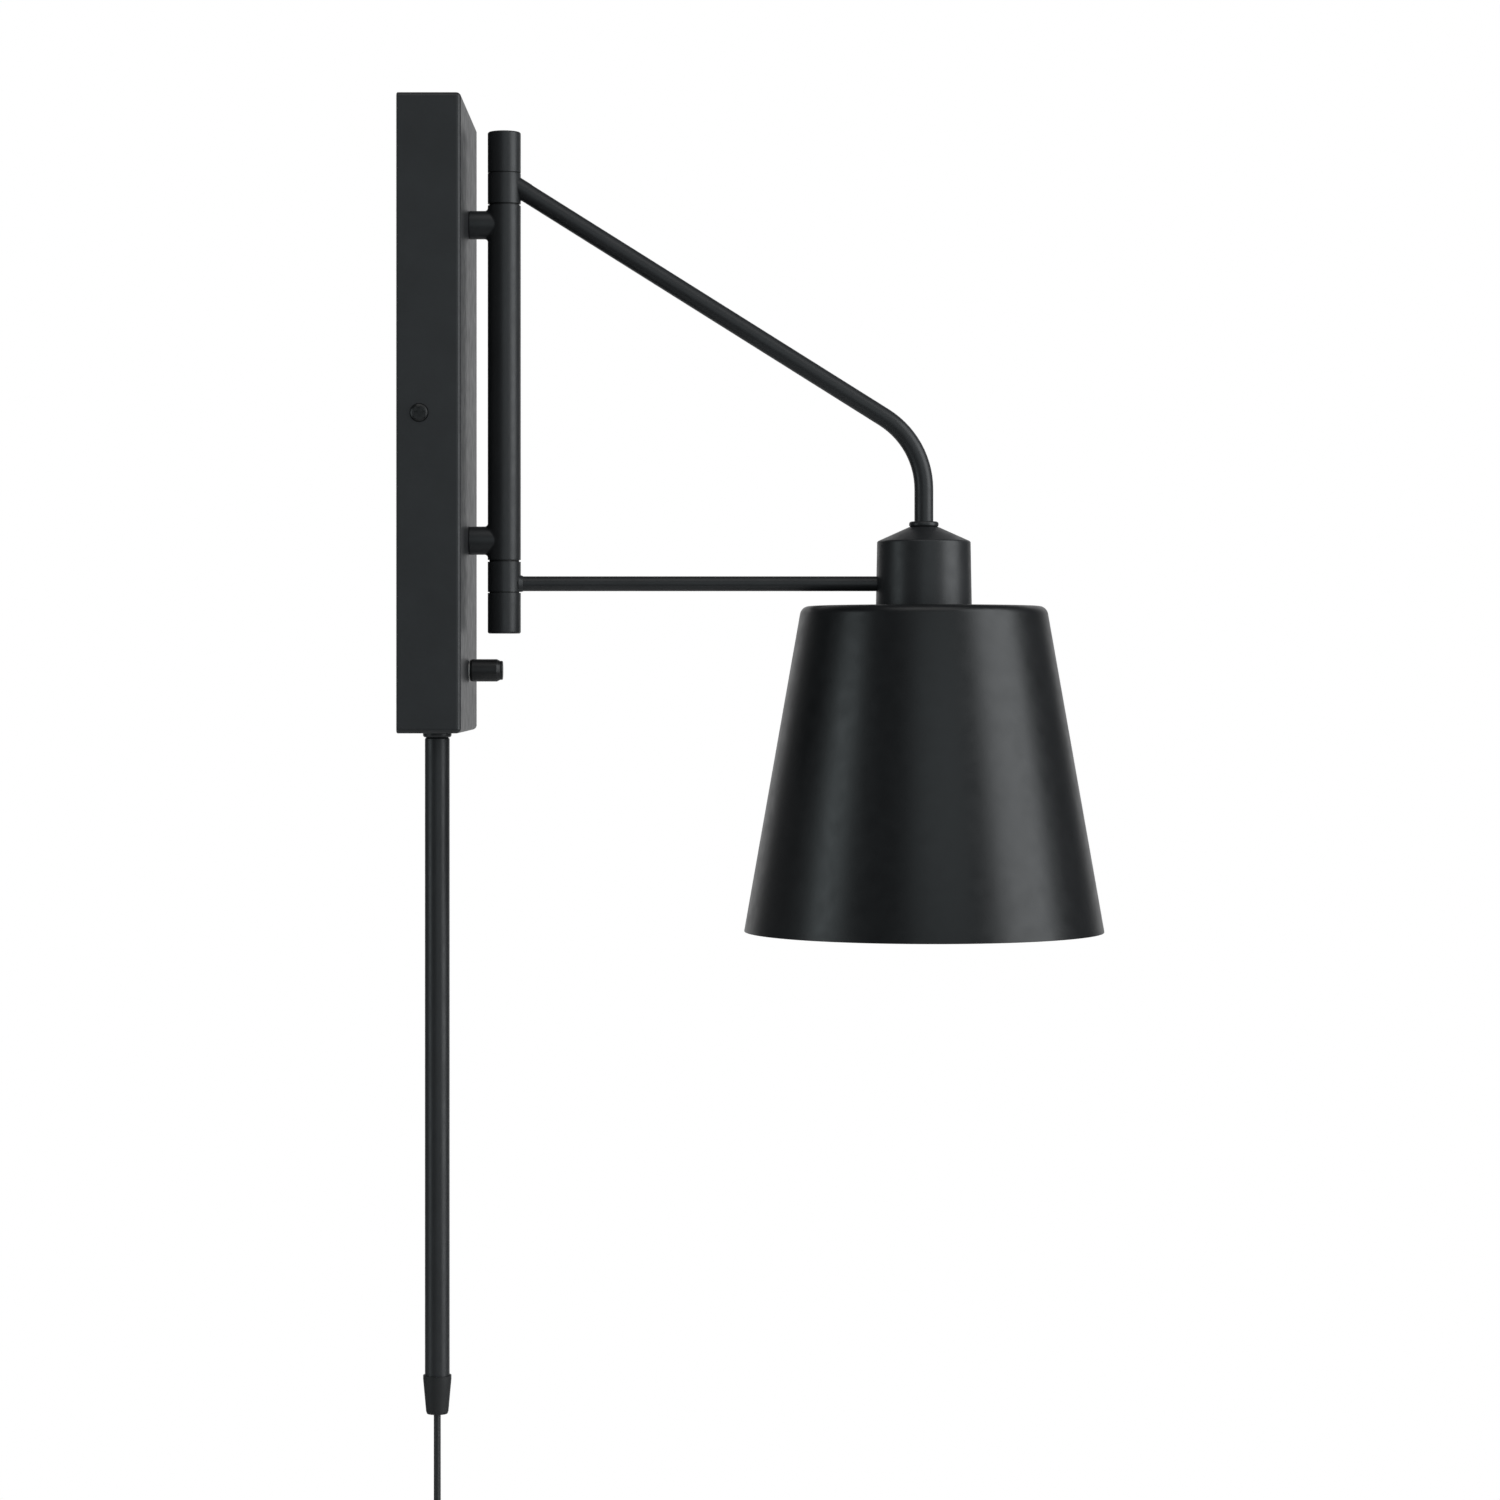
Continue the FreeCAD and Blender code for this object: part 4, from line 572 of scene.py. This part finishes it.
bumped(satin, satin_shader, noise(satin, 1100, 3), 0.00002, 0.5)
shade.data.materials.append(satin)
shade.data.materials.append(enamel)
for face in shade.data.polygons:
    outwards = Vector((face.center.x - head.x, face.center.y - head.y, 0)).normalized()
    face.material_index = int(face.normal.dot(outwards) < -0.3 or face.normal.z < -0.9 and
                              face.center.z > shade_low.z + 5 * MM)
smooth(shade, 40)
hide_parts("shade")
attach(shade, "arm")

# ---------------------------------------------------------------- lamp socket
# Moulded black phenolic socket and shade ring, with a pressed brass screw shell whose thread is
# rolled, seven turns to the inch, and a centre contact at the bottom.

THREAD_PITCH = 25.4 * MM / 7
THREAD_DEEP = 0.45 * MM

phenolic, phenolic_shader = surface("black_phenolic", (0.016, 0.016, 0.017), 0.34)
varied(phenolic, phenolic_shader, "Roughness", noise(phenolic, 220, 3), 0.28, 0.42)
varied(phenolic, phenolic_shader, "Base Color", noise(phenolic, 900, 3),
       (0.013,) * 3, (0.021, 0.02, 0.019))
for node in ("socket_body", "shade_ring", "switch_case"):
    finished(node, phenolic)
finished("socket_centre_contact", brass)

shell_low, shell_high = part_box("socket_screw_shell")
middle_radius = (shell_high.x - shell_low.x) / 2 - 0.5 * MM
bpy.ops.object.select_all(action="DESELECT")
bpy.ops.mesh.primitive_plane_add(size=THREAD_PITCH, location=(head.x, head.y, shell_low.z))
shell = bpy.context.object
shell.name = "threaded_shell"
bpy.ops.object.transform_apply(location=True, rotation=True, scale=True)
bpy.ops.object.mode_set(mode="EDIT")
bpy.ops.mesh.select_all(action="SELECT")
bpy.ops.mesh.subdivide(number_cuts=11)
bpy.ops.object.mode_set(mode="OBJECT")
front = min(vertex.co.y for vertex in shell.data.vertices)
bpy.ops.object.mode_set(mode="EDIT")
bpy.ops.mesh.select_mode(type="VERT")
bpy.ops.mesh.select_all(action="DESELECT")
bpy.ops.object.mode_set(mode="OBJECT")
for vertex in shell.data.vertices:
    vertex.select = vertex.co.y > front + 1e-6
bpy.ops.object.mode_set(mode="EDIT")
bpy.ops.mesh.delete(type="VERT")
bpy.ops.object.mode_set(mode="OBJECT")
for vertex in shell.data.vertices:
    along = (vertex.co.x - head.x) / THREAD_PITCH + 0.5
    wave = THREAD_DEEP / 2 * math.cos(math.tau * along)
    vertex.co = (middle_radius + wave, 0, along * THREAD_PITCH)
screw = shell.modifiers.new("thread", "SCREW")
screw.axis = "Z"
screw.screw_offset = THREAD_PITCH
screw.iterations = 6
screw.steps = screw.render_steps = 72
screw.use_merge_vertices = True
only(shell)
bpy.ops.object.modifier_apply(modifier=screw.name)
for vertex in shell.data.vertices:
    vertex.co += Vector((head.x, head.y, shell_low.z + 0.3 * MM))
    vertex.co.z = min(vertex.co.z, shell_high.z - 0.3 * MM)
wall = shell.modifiers.new("wall", "SOLIDIFY")
wall.thickness = 0.3 * MM
wall.offset = 0
only(shell)
bpy.ops.object.modifier_apply(modifier=wall.name)
outward(shell)
smooth(shell, 60)
shell.data.materials.append(brass)
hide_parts("socket_screw_shell")
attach(shell, "arm")

# ---------------------------------------------------------------- switch knob and rings
# Satin black moulded knob with a stepped tip, and black nylon thrust rings in the pivot grooves.

knob_black, knob_shader = surface("knob_plastic", (0.008, 0.008, 0.0085), 0.42)
varied(knob_black, knob_shader, "Roughness", noise(knob_black, 700, 3), 0.36, 0.48)
bumped(knob_black, knob_shader, noise(knob_black, 3000, 2), 0.00002, 0.5)
finished("switch_knob", knob_black)
ring_black, ring_shader = surface("nylon_rings", (0.006, 0.006, 0.0065), 0.6)
varied(ring_black, ring_shader, "Roughness", noise(ring_black, 900, 2), 0.55, 0.7)
for node in ("upper_inner_ring", "upper_outer_ring", "lower_inner_ring", "lower_outer_ring"):
    finished(node, ring_black)

# ---------------------------------------------------------------- bracket, nuts and screws
# Zinc-plated crossbar, nuts, nipples and spigots; the canopy's own screws are blackened steel,
# darkened further as painted shade.

zinc, zinc_shader = surface("zinc_plate", (0.6, 0.6, 0.58), 0.42, 1.0)
varied(zinc, zinc_shader, "Base Color", noise(zinc, 90, 5), (0.5, 0.5, 0.49), (0.68, 0.67, 0.62))
varied(zinc, zinc_shader, "Roughness", noise(zinc, 400, 4), 0.34, 0.52)
bumped(zinc, zinc_shader, noise(zinc, 900, 4), 0.00003, 0.5)
# Painted shade: the screws' base colour is darker than the canopy coat, standing in for the shadow
# on the sides of their heads.
blackened_and_shaded, blackened_and_shaded_shader = surface("blackened_steel_and_painted_shade", (0.006, 0.0063, 0.0066), 0.3, 0.1)
varied(blackened_and_shaded, blackened_and_shaded_shader, "Roughness", noise(blackened_and_shaded, 600, 3), 0.22, 0.4)
bumped(blackened_and_shaded, blackened_and_shaded_shader, noise(blackened_and_shaded, 1100, 3), 0.00006, 0.7)
for node in ("wall_bracket", "upper_standoff_nipple", "lower_standoff_nipple", "upper_standoff_nut",
             "lower_standoff_nut", "cord_nipple", "cord_nipple_nut", "stem_nut_1", "stem_nut_2",
             "socket_strap", "socket_screw_1", "socket_screw_2", "upper_pivot_spigot",
             "lower_pivot_spigot", "switch_bushing", "switch_nut", "switch_shaft"):
    finished(node, zinc)
for node in ("canopy_side_screw_1", "canopy_side_screw_2", "stop_screw"):
    finished(node, blackened_and_shaded)

# ---------------------------------------------------------------- wiring
# Insulated leads, the cord's held stretch and clamp, and two orange twist-on connectors.

lead_black, lead_shader = surface("lead_insulation", (0.028, 0.028, 0.029), 0.38)
varied(lead_black, lead_shader, "Roughness", noise(lead_black, 500, 3), 0.32, 0.46)
orange, orange_shader = surface("connector_plastic", (0.72, 0.24, 0.04), 0.4)
varied(orange, orange_shader, "Roughness", noise(orange, 500, 3), 0.34, 0.5)
varied(orange, orange_shader, "Base Color", noise(orange, 200, 3),
       (0.66, 0.2, 0.03), (0.78, 0.28, 0.05))
for node in ("lamp_lead_fixed", "lamp_lead_arm", "switch_wire_1", "switch_wire_2"):
    finished(node, lead_black)
for node in ("supply_lead", "strain_relief_clamp"):
    finished(node, cord_jacket)
for node in ("wire_connector_1", "wire_connector_2"):
    finished(node, orange)
